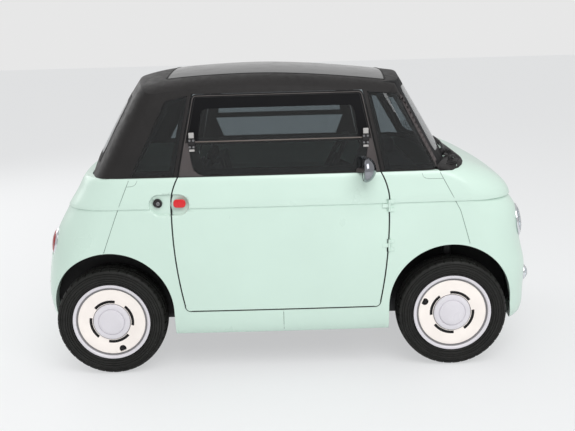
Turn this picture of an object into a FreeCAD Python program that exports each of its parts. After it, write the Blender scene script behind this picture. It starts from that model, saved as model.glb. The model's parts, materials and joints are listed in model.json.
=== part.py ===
import FreeCAD, Part

import math
import os
import re

import Sketcher
from FreeCAD import Placement, Rotation, Vector

# A two-seat electric microcar. Millimetres. +X is forward, +Y is the car's left, +Z is up.
# The origin is on the ground under the middle of the car's box.

os.makedirs("parts", exist_ok=True)
doc = FreeCAD.newDocument("microcar")
sheet = doc.addObject("Spreadsheet::Sheet", "Sizes")

SIZES = {
    # Chassis and wheels
    "wheelbase": 1728,
    "front_axle": 839,
    "wheel_track": 1200,
    "tyre_radius": 278.5,
    "tyre_width": 155,
    "rim_radius": 195,
    "rim_seat_radius": 183.7,
    "rim_width": 136,
    "stub_radius": 15,
    "running_gap": 0.05,
    "seat_gap": 0.3,
    "kingpin_offset": 490,
    "floor_height": 235,
    "floor_thick": 25,
    # Lower body: height, half width, front and rear reach of each level
    "hem_level": 204, "hem_half": 662, "hem_front": 1213, "hem_rear": 1215,
    "skirt_level": 250, "skirt_half": 682, "skirt_front": 1262, "skirt_rear": 1240,
    "bumper_level": 340, "bumper_half": 692, "bumper_front": 1267, "bumper_rear": 1267.5,
    "face_level": 500, "face_half": 698, "face_front": 1267.5, "face_rear": 1264,
    "lip_level": 620, "lip_half": 700, "lip_front": 1240, "lip_rear": 1241,
    "lamp_level": 720, "lamp_half": 700, "lamp_front": 1227, "lamp_rear": 1208,
    "brow_level": 800, "brow_half": 698, "brow_front": 1208, "brow_rear": 1166,
    "crease_level": 862, "crease_half": 694, "crease_front": 1163, "crease_rear": 1130,
    "crease_step": 4,
    # Shoulders and bonnet
    "shoulder_level": 905, "shoulder_half": 698, "shoulder_front": 1160, "shoulder_rear": 1106,
    "flank_level": 955, "flank_half": 690, "flank_front": 1108, "flank_rear": 1074,
    "belt_level": 1012, "belt_half": 676, "belt_front": 1000, "belt_rear": 1040,
    "dome_level": 1044, "dome_half": 560, "dome_front": 901, "dome_rear": 900,
    "peak_level": 1070, "peak_half": 330, "peak_front": 815, "peak_rear": 700,
    "body_corner": 250,
    "dome_corner": 190,
    "front_bow": 5500,
    "rear_bow": 3300,
    "side_bow": 30000,
    "body_wall": 36,
    "bonnet_wall": 24,
    # Upper body: the sides, screens and roof
    "base_level": 1000, "base_half": 668, "base_front": 893, "base_rear": 1041,
    "waist_level": 1200, "waist_half": 642, "waist_front": 778, "waist_rear": 922,
    "rail_level": 1400, "rail_half": 606, "rail_front": 662, "rail_rear": 800,
    "ridge_level": 1580, "ridge_half": 560, "ridge_front": 558, "ridge_rear": 660,
    "cabin_corner": 110,
    "cowl_inner": 345, "cowl_drop": 12,
    "screen_bow": 1700,
    "cabin_side_bow": 24000,
    "cabin_wall": 32,
    "glass_thick": 5,
    "glass_pocket": 6.5,
    "glass_gap": 0.4,
    "roof_height": 1530,
    "roof_crown": 40,
    "roof_shoulder": 130,
    # Doors
    "door_middle": -17,
    "door_bottom": 328,
    "door_top": 1407,
    "door_foot_half": 462,
    "door_low_half": 494,
    "door_wide_half": 536,
    "door_belt_half": 499,
    "door_top_half": 415,
    "door_gap": 7,
    "hinge_inset": 3,
    "hinge_radius": 6,
    "hinge_pin_radius": 3,
    "hinge_eye": 20,
    "hinge_low": 650,
    "hinge_high": 850,
    # Wheel arches
    "front_arch_middle": 827.5,
    "rear_arch_middle": -875,
    "arch_radius": 311,
    "arch_top": 643,
    "liner_radius": 352,
    "liner_thick": 4,
    "front_liner_inner": 350,
    "rear_liner_inner": 500,
    "tread_edge": 20,
    "steer_gap": 7,
    # Towing eye's socket
    "tow_radius": 8, "tow_depth": 60, "tow_offset": 230, "tow_level": 372,
    # Lamps: place, radius and how far the lens domes out
    "headlamp_radius": 76, "headlamp_front": 1197, "headlamp_offset": 478, "headlamp_level": 712,
    "marker_radius": 36, "marker_front": 1240, "marker_offset": 478, "marker_level": 428,
    "tail_radius": 64, "tail_rear": 1172, "tail_offset": 498, "tail_level": 668,
    "lens_dome": 14,
    # Lower air intake
    "intake_half": 240, "intake_low": 262, "intake_high": 322, "grille_bar": 6, "grille_depth": 18,
    # Heavy units
    "battery_length": 560, "battery_width": 420, "battery_height": 135,
    "motor_length": 260, "motor_width": 300, "motor_height": 220,
    # Cabin
    "seat_width": 440,
    "seat_offset": 270,
    "seat_height": 545,
    "cushion_thick": 75,
    "steering_radius": 175,
    "steering_offset": 270,
}

for row, (alias, size) in enumerate(SIZES.items(), start=1):
    sheet.set("A%d" % row, alias)
    sheet.set("B%d" % row, str(size))
    sheet.setAlias("B%d" % row, alias)
doc.recompute()

SIDE, PLAN, FRONT = "XZ", "XY", "YZ"
TURNS = {
    PLAN: Rotation(),
    SIDE: Rotation(Vector(1, 0, 0), 90),
    FRONT: Rotation(Vector(1, 1, 1), 120),
}
NORMALS = {PLAN: "z", SIDE: "y", FRONT: "x"}
nodes = []


def formula(text):
    """The same text with each size's name pointing at its cell."""
    def cell(match):
        word = match.group()
        return "Sizes." + word if word in SIZES else word
    return re.sub(r"[a-z][a-z_]*", cell, str(text))


def value(text):
    """What a formula gives now."""
    return float(sheet.evalExpression(formula(text)))


def bind(item, name, text):
    item.setExpression(name, formula(text))


def bind_all(item, **texts):
    for name, text in texts.items():
        bind(item, name, text)


def put(item, x=0, y=0, z=0):
    """Ties an object's place to the sheet."""
    for axis, text in zip("xyz", (x, y, z)):
        bind(item, "Placement.Base." + axis, text)
    return item


def box(name, length, width, height, x, y, z):
    """A block from its low corner."""
    item = doc.addObject("Part::Box", name)
    bind_all(item, Length=length, Width=width, Height=height)
    return put(item, x, y, z)


AIM = {
    "z": Rotation(),
    "x": Rotation(Vector(0, 1, 0), 90),
    "y": Rotation(Vector(1, 0, 0), -90),
}


def cylinder(name, radius, height, x, y, z, along="z"):
    """A round bar from the middle of its low end."""
    item = doc.addObject("Part::Cylinder", name)
    item.Placement = Placement(Vector(), AIM[along])
    bind_all(item, Radius=radius, Height=height)
    return put(item, x, y, z)


def cut(name, base, tool):
    item = doc.addObject("Part::Cut", name)
    item.Base = base
    item.Tool = tool
    return item


def fuse(name, *shapes):
    item = doc.addObject("Part::MultiFuse", name)
    item.Shapes = list(shapes)
    return item


def common(name, first, second):
    item = doc.addObject("Part::Common", name)
    item.Base = first
    item.Tool = second
    return item


def mirrored(name, source):
    """The other side's piece."""
    item = doc.addObject("Part::Mirroring", name)
    item.Source = source
    item.Normal = Vector(0, 1, 0)
    return item


def group(name, *shapes):
    item = doc.addObject("Part::Compound", name)
    item.Links = list(shapes)
    return item


def node(name, item):
    """Marks a finished sub-part."""
    item.Label = name
    nodes.append(item)
    return item


def sketch_arc(start, through, end):
    """The arc through three points, turned the way a sketch keeps it, and whether it runs
    from start to end."""
    path = Part.Circle(start, through, end)
    forward = (through - start).cross(end - through).z > 0
    first, last = (start, end) if forward else (end, start)
    angles = []
    for point in (first, last):
        spoke = point - path.Center
        angles.append(math.atan2(spoke.y, spoke.x))
    if angles[1] < angles[0]:
        angles[1] += 2 * math.pi
    circle = Part.Circle(path.Center, Vector(0, 0, 1), path.Radius)
    return Part.ArcOfCircle(circle, *angles), forward


def drawn(name, plane, offset, steps):
    """A closed outline of lines and arcs. A step is a corner (u, v), or (u, v, mu, mv) for an
    arc that ends at (u, v) and passes (mu, mv)."""
    sketch = doc.addObject("Sketcher::SketchObject", name)
    sketch.Placement = Placement(Vector(), TURNS[plane])
    bind(sketch, "Placement.Base." + NORMALS[plane], offset)
    corners = [Vector(value(step[0]), value(step[1]), 0) for step in steps]
    lines = []
    limits = []
    for index, step in enumerate(steps):
        start, end = corners[index - 1], corners[index]
        if len(step) == 2:
            lines.append(Part.LineSegment(start, end))
            limits.append(("Coincident", 1, 2))
            continue
        arc, forward = sketch_arc(start, Vector(value(step[2]), value(step[3]), 0), end)
        lines.append(arc)
        limits.append(("Coincident", 1, 2) if forward else ("Coincident", 2, 1))
    sketch.addGeometry(lines, False)
    count = len(lines)
    rules = []
    for index in range(count):
        after = (index + 1) % count
        rules.append(Sketcher.Constraint("Coincident", index, limits[index][2], after, limits[after][1]))
    sketch.addConstraint(rules)
    for index, step in enumerate(steps):
        tied(sketch, index, limits[index][2], step[0], step[1])
        if len(step) == 4:
            through = sketch.addGeometry(Part.Point(Vector(value(step[2]), value(step[3]), 0)), True)
            tied(sketch, through, 1, step[2], step[3])
            sketch.addConstraint(Sketcher.Constraint("PointOnObject", through, 1, index))
    return sketch


def tied(sketch, geometry, end, across, up):
    """Holds a sketch point at two formulas, measured from the origin."""
    for kind, text in (("DistanceX", across), ("DistanceY", up)):
        at = sketch.addConstraint(Sketcher.Constraint(kind, -1, 1, geometry, end, value(text)))
        bind(sketch, "Constraints[%d]" % at, text)


def prism(name, outline, along, forward, back=0):
    """An outline carried along an axis."""
    item = doc.addObject("Part::Extrusion", name)
    item.Base = outline
    item.DirMode = "Custom"
    item.Dir = {"x": Vector(1, 0, 0), "y": Vector(0, 1, 0), "z": Vector(0, 0, 1)}[along]
    item.Solid = True
    bind_all(item, LengthFwd=forward, LengthRev=back)
    return item


def turned(name, outline, axis):
    """An outline spun about an axis through the origin."""
    item = doc.addObject("Part::Revolution", name)
    item.Source = outline
    item.Axis = axis
    item.Base = Vector()
    item.Angle = 360
    item.Solid = True
    return item


def loft(name, sections, ruled=False):
    item = doc.addObject("Part::Loft", name)
    item.Sections = sections
    item.Solid = True
    item.Ruled = ruled
    return item


def meeting(first, first_radius, second, second_radius, outward):
    """Where two circles cross, on the outward side."""
    gap = second - first
    reach = gap.Length
    along = (first_radius ** 2 - second_radius ** 2 + reach ** 2) / (2 * reach)
    rise = math.sqrt(max(first_radius ** 2 - along ** 2, 0))
    ahead = gap / reach
    side = Vector(-ahead.y, ahead.x, 0)
    points = [first + ahead * along + side * rise, first + ahead * along - side * rise]
    return max(points, key=lambda point: point.dot(outward))


def plan_section(name, level, half, front, rear, corner, bows, inset=0):
    """A rounded plan outline at one height: bowed nose, tail and sides, and four round
    corners that meet them smoothly."""
    front_bow, rear_bow, side_bow = bows
    sketch = doc.addObject("Sketcher::SketchObject", name)
    bind(sketch, "Placement.Base.z", level)
    ins = value(inset)
    wide, nose, tail = value(half) - ins, value(front) - ins, value(rear) - ins
    round_radius = value(corner) - ins
    radii = [value(front_bow) - ins, value(side_bow) - ins, value(rear_bow) - ins, value(side_bow) - ins]
    middle = (nose - tail) / 2
    centres = [
        Vector(nose - radii[0], 0, 0), Vector(middle, wide - radii[1], 0),
        Vector(radii[2] - tail, 0, 0), Vector(middle, radii[3] - wide, 0),
    ]
    tops = [Vector(nose, 0, 0), Vector(middle, wide, 0), Vector(-tail, 0, 0), Vector(middle, -wide, 0)]
    outward = [Vector(1, 1, 0), Vector(-1, 1, 0), Vector(-1, -1, 0), Vector(1, -1, 0)]
    joints = []
    for index in range(4):
        after = (index + 1) % 4
        centre = meeting(centres[index], radii[index] - round_radius,
                         centres[after], radii[after] - round_radius, outward[index])
        ends = []
        for face in (index, after):
            direction = (centre - centres[face]).normalize()
            ends.append(centres[face] + direction * radii[face])
        between = ((ends[0] - centre).normalize() + (ends[1] - centre).normalize()).normalize()
        joints.append((ends[0], centre + between * round_radius, ends[1]))
    arcs = []
    for index in range(4):
        arcs.append(sketch_arc(joints[index - 1][2], tops[index], joints[index][0])[0])
        arcs.append(sketch_arc(*joints[index])[0])
    sketch.addGeometry(arcs, False)
    rules = []
    for index in range(8):
        rules.append(Sketcher.Constraint("Tangent", index, 2, (index + 1) % 8, 1))
    sketch.addConstraint(rules)
    for index, bow in ((0, front_bow), (2, side_bow), (4, rear_bow), (6, side_bow)):
        bounded(sketch, "Radius", (index,), radii[index // 2], "%s - (%s)" % (bow, inset))
    for index in (1, 3, 5, 7):
        bounded(sketch, "Radius", (index,), round_radius, "%s - (%s)" % (corner, inset))
    places = (
        (0, "%s - (%s)" % (front, inset), "0"),
        (2, "(%s - (%s)) / 2" % (front, rear), "%s - (%s)" % (half, inset)),
        (4, "(%s) - (%s)" % (inset, rear), "0"),
        (6, "(%s - (%s)) / 2" % (front, rear), "(%s) - (%s)" % (inset, half)),
    )
    for (index, across, up), top in zip(places, tops):
        through = sketch.addGeometry(Part.Point(top), True)
        tied(sketch, through, 1, across, up)
        sketch.addConstraint(Sketcher.Constraint("PointOnObject", through, 1, index))
    sketch.addConstraint(Sketcher.Constraint("PointOnObject", 0, 3, -1))
    sketch.addConstraint(Sketcher.Constraint("PointOnObject", 4, 3, -1))
    return sketch


def bounded(sketch, kind, about, size, text):
    at = sketch.addConstraint(Sketcher.Constraint(kind, *about, size))
    bind(sketch, "Constraints[%d]" % at, text)


BODY_BOWS = ("front_bow", "rear_bow", "side_bow")
CABIN_BOWS = ("screen_bow", "screen_bow", "cabin_side_bow")


def level(name, word, corner, bows, inset, height=None):
    """The plan section of one named level."""
    return plan_section("%s_%s" % (name, word), height or word + "_level", word + "_half", word + "_front",
                        word + "_rear", corner, bows, inset)


def levels(name, words, corner, bows, inset):
    """A stack of plan sections, one for each named level."""
    return [level(name, word, corner, bows, inset) for word in words]


LOWER = ("hem", "skirt", "bumper", "face", "lip", "lamp", "brow", "crease")
UPPER = ("shoulder", "flank", "belt")
CABIN = ("base", "waist", "rail", "ridge")


def lower_form(name, inset):
    return loft(name, levels(name, LOWER, "body_corner", BODY_BOWS, inset))


def upper_form(name, inset, crown):
    """The shoulders, which stand a little proud of the lower body at the crease, and the bonnet's crown."""
    foot = plan_section(name + "_foot", "crease_level", "crease_half + crease_step",
                        "crease_front + 4 * crease_step", "crease_rear + crease_step",
                        "body_corner", BODY_BOWS, inset)
    return loft(name, [foot] + levels(name, UPPER, "body_corner", BODY_BOWS, inset) + crown)


def crown_sections(name, inset, drop, words=("dome", "peak")):
    return [level(name, word, "dome_corner", BODY_BOWS, inset, "%s_level - %s" % (word, drop))
            for word in words]


def cabin_form(name, inset):
    return loft(name, levels(name, CABIN, "cabin_corner", CABIN_BOWS, inset))


ROOF_STATIONS = ((-960, -170), (-700, -42), (-420, -8), (-110, 0), (250, -20), (640, -66), (960, -130))


def roof_form(name, inset):
    """Everything below the crowned roof: cross sections along the car."""
    sections = []
    for index, (station, fall) in enumerate(ROOF_STATIONS):
        top = "roof_height + (%s) - (%s)" % (fall, inset)
        edge = "%s - roof_crown" % top
        side = "rail_half + 20"
        shoulder = "%s - roof_shoulder" % top
        sections.append(drawn("%s_%d" % (name, index), FRONT, station, [
            ("0 - (%s) - 134" % side, "base_level - 60"),
            ("%s + 134" % side, "base_level - 60"),
            (side, shoulder),
            ("rail_half - 106", edge, "rail_half - 32", "%s - 0.35 * (roof_shoulder - roof_crown)" % edge),
            ("106 - rail_half", edge, "0", top),
            ("0 - (%s)" % side, shoulder, "32 - rail_half",
             "%s - 0.35 * (roof_shoulder - roof_crown)" % edge),
        ]))
    return loft(name, sections)


# The closed forms: outer skins, their inner faces, and the glass layer between
lower_skin = lower_form("lower_skin", "0")
lower_core = lower_form("lower_core", "body_wall")
upper_skin = upper_form("upper_skin", "0", crown_sections("upper_skin", "0", "0"))
upper_core = upper_form("upper_core", "body_wall", [])
crown_foot = level("crown_core_foot", "dome", "dome_corner", BODY_BOWS, "body_wall",
                   "belt_level - bonnet_wall")
crown_tops = crown_sections("crown_core", "body_wall + bonnet_wall", "bonnet_wall")
crown_core = loft("crown_core", [crown_foot] + crown_tops)


def upper_body(name, inset):
    """The whole cabin's closed form, some way inside its outer skin."""
    return common(name, cabin_form(name + "_sides", inset), roof_form(name + "_roof", inset))


cabin_skin = upper_body("cabin_skin", "0")
cabin_layer = upper_body("cabin_layer", "glass_pocket")
cabin_pane = upper_body("cabin_pane", "glass_thick")
cabin_core = upper_body("cabin_core", "cabin_wall")

keel = box("keel", "3000", "1400", "60", "-1500", "-700", "hem_level - 58")
body_core = fuse("body_core", lower_core, upper_core, crown_core, keel)
body_skin = fuse("body_skin", lower_skin, upper_skin)
body_shell = cut("body_shell", body_skin, body_core)
cabin_shell = cut("cabin_shell", cabin_skin, cabin_core)
pocket_shell = cut("pocket_shell", cabin_skin, cabin_layer)
pane_shell = cut("pane_shell", cabin_skin, cabin_pane)


def door_outline(name, inset):
    """The shut line seen from the side, the same both ways about its middle."""
    def side(sign, half):
        return "door_middle %s (%s - (%s))" % (sign, half, inset)
    low = "door_bottom + (%s)" % inset
    high = "door_top - (%s)" % inset
    return drawn(name, SIDE, "0", [
        (side("+", "door_foot_half"), low),
        (side("+", "door_low_half"), "door_bottom + 34", side("+", "door_low_half - 9"), "door_bottom + 10"),
        (side("+", "door_wide_half"), "820", side("+", "door_wide_half - 14"), "545"),
        (side("+", "door_belt_half"), "belt_level", side("+", "door_wide_half - 8"), "940"),
        (side("+", "door_top_half"), high),
        (side("-", "door_top_half"), high),
        (side("-", "door_belt_half"), "belt_level"),
        (side("-", "door_wide_half"), "820", side("-", "door_wide_half - 8"), "940"),
        (side("-", "door_low_half"), "door_bottom + 34", side("-", "door_wide_half - 14"), "545"),
        (side("-", "door_foot_half"), low, side("-", "door_low_half - 9"), "door_bottom + 10"),
    ])


doorway = prism("doorway", door_outline("doorway_outline", "0"), "y", "900", "900")
door_block = prism("door_block", door_outline("door_block_outline", "door_gap"), "y", "0", "900")
below_belt = box("below_belt", "3000", "1600", "belt_level", "-1500", "-800", "0")
door_low_block = common("door_low_block", door_block, below_belt)


def arch(name, middle, radius):
    """A wheel opening as a round-topped side outline carried across the car."""
    return prism(name, drawn(name + "_outline", SIDE, "0", [
        ("%s - %s" % (middle, radius), "100"),
        ("%s + %s" % (middle, radius), "100"),
        ("%s + %s" % (middle, radius), "arch_top - %s" % radius),
        ("%s - %s" % (middle, radius), "arch_top - %s" % radius, middle, "arch_top"),
    ]), "y", "900", "900")


front_arch = arch("front_arch", "front_arch_middle", "arch_radius")
rear_arch = arch("rear_arch", "rear_arch_middle", "arch_radius")


# Seams between the body mouldings, seen from the side
def seam_block(name, points, left="900"):
    return prism(name, drawn(name + "_outline", SIDE, "0", points), "y", left, "900")


nose_block = seam_block("nose_block", [
    ("916", "150"), ("1400", "150"), ("1400", "1200"), ("640", "1200"), ("640", "1064"), ("756", "1030"),
    ("766", "1000"), ("866", "815"), ("916", "639"),
])
tail_block = seam_block("tail_block", [
    ("-896", "150"), ("-896", "645"), ("-822", "835"), ("-746", "belt_level"), ("-1400", "belt_level"),
    ("-1400", "150"),
])
front_side_block = seam_block("front_side_block", [
    ("-15", "150"), ("916", "150"), ("916", "639"), ("866", "815"), ("766", "1000"), ("762", "belt_level"),
    ("-15", "belt_level"),
], "0")
rear_side_block = seam_block("rear_side_block", [
    ("-896", "150"), ("-15.5", "150"), ("-15.5", "belt_level"), ("-746", "belt_level"), ("-822", "835"),
    ("-896", "645"),
], "0")
nose_tool = cut("nose_tool", nose_block, front_arch)
tail_tool = cut("tail_tool", tail_block, rear_arch)


def steer_room(name, sign):
    """All that a front tyre reaches as it steers about its kingpin."""
    room = doc.addObject("Part::Sphere", name)
    outward = "wheel_track / 2 + tyre_width / 2 - tread_edge - kingpin_offset"
    bind(room, "Radius", "sqrt(tyre_radius ^ 2 + (%s) ^ 2) + steer_gap" % outward)
    return put(room, "front_axle", "%d * kingpin_offset" % sign, "tyre_radius")


# Lamps
def lamp_profile(name, radius, back, dome):
    """A lamp seen from its side: barrel, bezel flange and domed lens, its axis along X."""
    return turned(name, drawn(name + "_outline", SIDE, "0", [
        ("0 - (%s)" % back, "0"),
        ("0 - (%s)" % back, radius),
        ("0", radius),
        ("0", "%s + 9" % radius),
        ("8", "%s + 8" % radius),
        ("13", radius),
        ("13 + (%s)" % dome, "0", "13 + 0.76 * (%s)" % dome, "%s / 2" % radius),
    ]), Vector(1, 0, 0))


def lamp_room(name, radius):
    """The hole that a lamp's barrel passes and the seat that its flange sits in."""
    hole = cylinder(name + "_hole", "%s + seat_gap" % radius, "200", "-120", "0", "0", "x")
    seat = cylinder(name + "_seat", "%s + 9.5" % radius, "80", "0 - seat_gap", "0", "0", "x")
    return fuse(name, hole, seat)


def aimed(name, item, x, y, z, out, up, rear=False):
    """A lamp at its place on the right-hand side, its axis turned outwards and upwards, in degrees."""
    held = group(name, item)
    held.Placement = Placement(Vector(), Rotation(Vector(0, 0, 1), 180 + out if rear else -out)
                               * Rotation(Vector(0, 1, 0), -up))
    return put(held, x, y, z)


LAMPS = (
    ("headlamp", "headlamp_front", 13, 9, False, "60"),
    ("marker", "marker_front", 9, -1, False, "40"),
    ("tail", "0 - tail_rear", 14, 12, True, "50"),
)
lamps = {}
lamp_rooms = []
for word, x, out, up, rear, back in LAMPS:
    radius = word + "_radius"
    place = (x, "0 - %s_offset" % word, word + "_level", out, up, rear)
    lamps[word] = aimed(word + "_aimed", lamp_profile(word + "_form", radius, back, "lens_dome"), *place)
    lamp_rooms.append(aimed(word + "_room_aimed", lamp_room(word + "_room", radius), *place))
lamp_rooms_right = fuse("lamp_rooms_right", *lamp_rooms)
lamp_rooms_both = fuse("lamp_rooms_both", lamp_rooms_right, mirrored("lamp_rooms_left", lamp_rooms_right))


def pair(name, *words):
    """The named lamps of both sides."""
    right = group(name + "_right", *[lamps[word] for word in words])
    return group(name, right, mirrored(name + "_left", right))


node("front_lamps", pair("front_lamps", "headlamp", "marker"))
node("tail_lamps", pair("tail_lamps", "tail"))


def intake(name, inset):
    """The lower intake: a long slot with round ends, carried through the front moulding."""
    half = "intake_half - (%s)" % inset
    low, high = "intake_low + (%s)" % inset, "intake_high - (%s)" % inset
    bend = "(intake_high - intake_low) / 2 - (%s)" % inset
    middle = "(intake_low + intake_high) / 2"
    return prism(name, drawn(name + "_outline", FRONT, "hem_front - 60", [
        ("(%s) - (%s)" % (half, bend), low),
        ("(%s) - (%s)" % (half, bend), high, half, middle),
        ("(%s) - (%s)" % (bend, half), high),
        ("(%s) - (%s)" % (bend, half), low, "0 - (%s)" % half, middle),
    ]), "x", "200")


grille_bars = [box("grille_bar_%d" % row, "grille_depth", "2 * intake_half", "grille_bar", "skirt_front - 28",
                   "0 - intake_half",
                   "intake_low + %d * (intake_high - intake_low) / 4 - grille_bar / 2" % row)
               for row in (1, 2, 3)]
grille_posts = [box("grille_post_%d" % row, "grille_depth", "grille_bar - 1", "intake_high - intake_low",
                    "skirt_front - 28", "%d * intake_half / 3 - grille_bar / 2" % row, "intake_low")
                for row in (-2, -1, 0, 1, 2)]
grille_band = box("grille_band", "grille_depth", "2 * intake_half", "intake_high - intake_low",
                  "skirt_front - 28", "0 - intake_half", "intake_low")
grille_frame = cut("grille_frame", common("grille_block", grille_band, intake("grille_edge", "seat_gap")),
                   intake("grille_open", "5"))
grille_lattice = fuse("grille_lattice", *grille_bars, *grille_posts)
grille_lines = common("grille_lines", grille_lattice, intake("grille_limit", "1"))
node("lower_grille", fuse("lower_grille", grille_frame, grille_lines))


def cowl_prism(name, inset):
    """The scoop at the foot of the screen pillar, seen from the side, on the right."""
    return prism(name, drawn(name + "_outline", SIDE, "0 - cowl_inner - (%s)" % inset, [
        ("660", "belt_level - 4 + (%s)" % inset),
        ("826 - (%s)" % inset, "belt_level - 4 + (%s)" % inset),
        ("831 - (%s)" % inset, "1102 - (%s)" % inset, "869 - (%s)" % inset, "1047"),
        ("760", "1150"),
        ("660", "1150"),
    ]), "y", "0", "400")


cowl_tool = cowl_prism("cowl_tool", "0")
tow_hole = cylinder("tow_hole", "tow_radius + 14", "400", "1000", "0 - tow_offset", "tow_level", "x")
nose_rooms = fuse("nose_rooms", tow_hole, intake("intake_hole", "0"), lamp_rooms_both, cowl_tool,
                  mirrored("cowl_tool_left", cowl_tool), steer_room("steer_room_left", 1),
                  steer_room("steer_room_right", -1))
nose_moulding = common("nose_moulding", body_shell, nose_tool)
nose_part = cut("nose_part", nose_moulding, nose_rooms)
front_cap = node("front_cap", cut("front_cap", nose_part, cabin_skin))
rear_cap = node("rear_cap", cut("rear_cap", common("tail_moulding", body_shell, tail_tool), lamp_rooms_both))

# The black scoops at the screen pillars' feet: the bonnet's own skin, set down a little
cowl_skin = common("cowl_skin", nose_moulding, cowl_prism("cowl_limit", "seat_gap"))
cowl_lower = group("cowl_lower", cowl_skin)
put(cowl_lower, "-0.4 * cowl_drop", "0", "0 - cowl_drop")
cowl_right = cut("cowl_right", common("cowl_sunk", cowl_skin, cowl_lower), cabin_skin)
node("cowl", group("cowl", cowl_right, mirrored("cowl_left", cowl_right)))

hinge_x = "door_middle + door_wide_half - door_gap / 2"
hinge_y = "brow_half - hinge_inset + 2"


def side_panel(name, block, opening):
    """The right-hand panel between a seam, the doorway, a wheel opening and the sill."""
    tool = cut(name + "_tool", cut(name + "_framed", block, doorway), opening)
    return common(name, body_shell, tool)


front_side = side_panel("front_side", front_side_block, front_arch)
rear_side = side_panel("rear_side", rear_side_block, rear_arch)


def hinge_room(name, mid):
    """Room round one hinge of the right-hand door."""
    low = "%s - 1.5 * hinge_eye - 2" % mid
    round_part = cylinder(name + "_round", "hinge_radius + 1.5", "3 * hinge_eye + 4", hinge_x,
                          "0 - (%s)" % hinge_y, low)
    arm_part = box(name + "_arm", "14", "2 * hinge_radius + 3", "3 * hinge_eye + 4", "%s - 14" % hinge_x,
                   "0 - (%s) - hinge_radius - 1.5" % hinge_y, low)
    return fuse(name, round_part, arm_part)


def turned_round(name, *shapes):
    """A right-hand door piece turned about the middle of the doorways to the left side."""
    item = group(name, *shapes)
    item.Placement = Placement(Vector(), Rotation(Vector(0, 0, 1), 180))
    put(item, "2 * door_middle")
    return item


hinge_rooms = fuse("hinge_rooms", hinge_room("hinge_room_low", "hinge_low"),
                   hinge_room("hinge_room_high", "hinge_high"))
handle_dish = doc.addObject("Part::Ellipsoid", "handle_dish")
handle_dish.Angle1 = -90
handle_dish.Angle2 = 90
bind_all(handle_dish, Radius1="59", Radius2="106", Radius3="15")
put(handle_dish, "door_middle - 545", "0 - brow_half", "881")
lock_room = cylinder("lock_room", "21 + seat_gap", "40", "door_middle - 598", "0 - brow_half", "891", "y")
side_tools = fuse("side_tools", hinge_rooms, handle_dish, lock_room)
side_tools_left = turned_round("side_tools_left", side_tools)

node("quarter_front_right", cut("quarter_front_right", front_side, side_tools))
node("quarter_rear_right", cut("quarter_rear_right", rear_side, side_tools))
front_side_other = mirrored("front_side_other", front_side)
node("quarter_front_left", cut("quarter_front_left", front_side_other, side_tools_left))
rear_side_other = mirrored("rear_side_other", rear_side)
node("quarter_rear_left", cut("quarter_rear_left", rear_side_other, side_tools_left))


# Upper body: openings and panes
above_belt = box("above_belt", "3000", "1600", "700", "-1500", "-800", "belt_level + 0.3")
upper_shell = common("upper_shell", cabin_shell, above_belt)
upper_pocket = common("upper_pocket", pocket_shell, above_belt)
upper_pane = common("upper_pane", pane_shell, above_belt)


def quarter_glass(name, inset):
    """Front and rear side windows as one pair of prisms."""
    front = prism(name + "_front", drawn(name + "_front_outline", SIDE, "0", [
        ("door_middle + door_belt_half + 16 + (%s)" % inset, "belt_level + 6 + (%s)" % inset),
        ("757 - (%s)" % inset, "belt_level + 6 + (%s)" % inset),
        ("571 - (%s)" % inset, "1385 - (%s)" % inset),
        ("door_middle + door_top_half + 20 + (%s)" % inset, "1400 - (%s)" % inset),
    ]), "y", "900", "900")
    rear = prism(name + "_rear", drawn(name + "_rear_outline", SIDE, "0", [
        ("-744 + (%s)" % inset, "belt_level + 6 + (%s)" % inset),
        ("door_middle - door_belt_half - 16 - (%s)" % inset, "belt_level + 6 + (%s)" % inset),
        ("door_middle - door_top_half - 20 - (%s)" % inset, "1400 - (%s)" % inset),
        ("-560 + (%s)" % inset, "1378 - (%s)" % inset),
    ]), "y", "900", "900")
    return fuse(name, front, rear)


def screen_prism(name, inset, front):
    """The windscreen or the rear window seen from the end."""
    foot = "belt_level + 20" if front else "belt_level + 60"
    head = "1438" if front else "1392"
    low_half = "600" if front else "500"
    high_half = "520" if front else "440"
    outline = drawn(name + "_outline", FRONT, "0", [
        ("(%s) - %s" % (inset, low_half), "%s + (%s)" % (foot, inset)),
        ("%s - (%s)" % (low_half, inset), "%s + (%s)" % (foot, inset)),
        ("%s - (%s)" % (high_half, inset), "%s - (%s)" % (head, inset)),
        ("(%s) - %s" % (inset, high_half), "%s - (%s)" % (head, inset), "0", "%s + 8 - (%s)" % (head, inset)),
    ])
    return prism(name, outline, "x", "1200" if front else "0", "0" if front else "1200")


def roof_panel(name, inset):
    return prism(name, drawn(name + "_outline", PLAN, "1300", [
        ("-560 + (%s)" % inset, "(%s) - 470" % inset),
        ("515 - (%s)" % inset, "(%s) - 470" % inset),
        ("515 - (%s)" % inset, "470 - (%s)" % inset, "535 - (%s)" % inset, "0"),
        ("-560 + (%s)" % inset, "470 - (%s)" % inset),
    ]), "z", "400")


LIP = "22"
openings = fuse("openings", quarter_glass("side_opening", LIP), screen_prism("screen_opening", LIP, True),
                screen_prism("rear_opening", LIP, False), roof_panel("roof_opening", LIP))
pockets = fuse("pockets", quarter_glass("side_pocket", "0"), screen_prism("screen_pocket", "0", True),
               screen_prism("rear_pocket", "0", False), roof_panel("roof_pocket", "0"))
pocket_layer = common("pocket_layer", upper_pocket, pockets)
frame_open = cut("frame_open", cut("frame_doorless", upper_shell, doorway), openings)
node("roof_shell", cut("roof_shell", frame_open, pocket_layer))
node("side_windows", common("side_windows", upper_pane, quarter_glass("side_glass", "glass_gap")))
node("windscreen", common("windscreen", upper_pane, screen_prism("screen_glass", "glass_gap", True)))
node("rear_window", common("rear_window", upper_pane, screen_prism("rear_glass", "glass_gap", False)))
node("roof_glass", common("roof_glass", upper_pane, roof_panel("roof_glass_plan", "glass_gap")))


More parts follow.
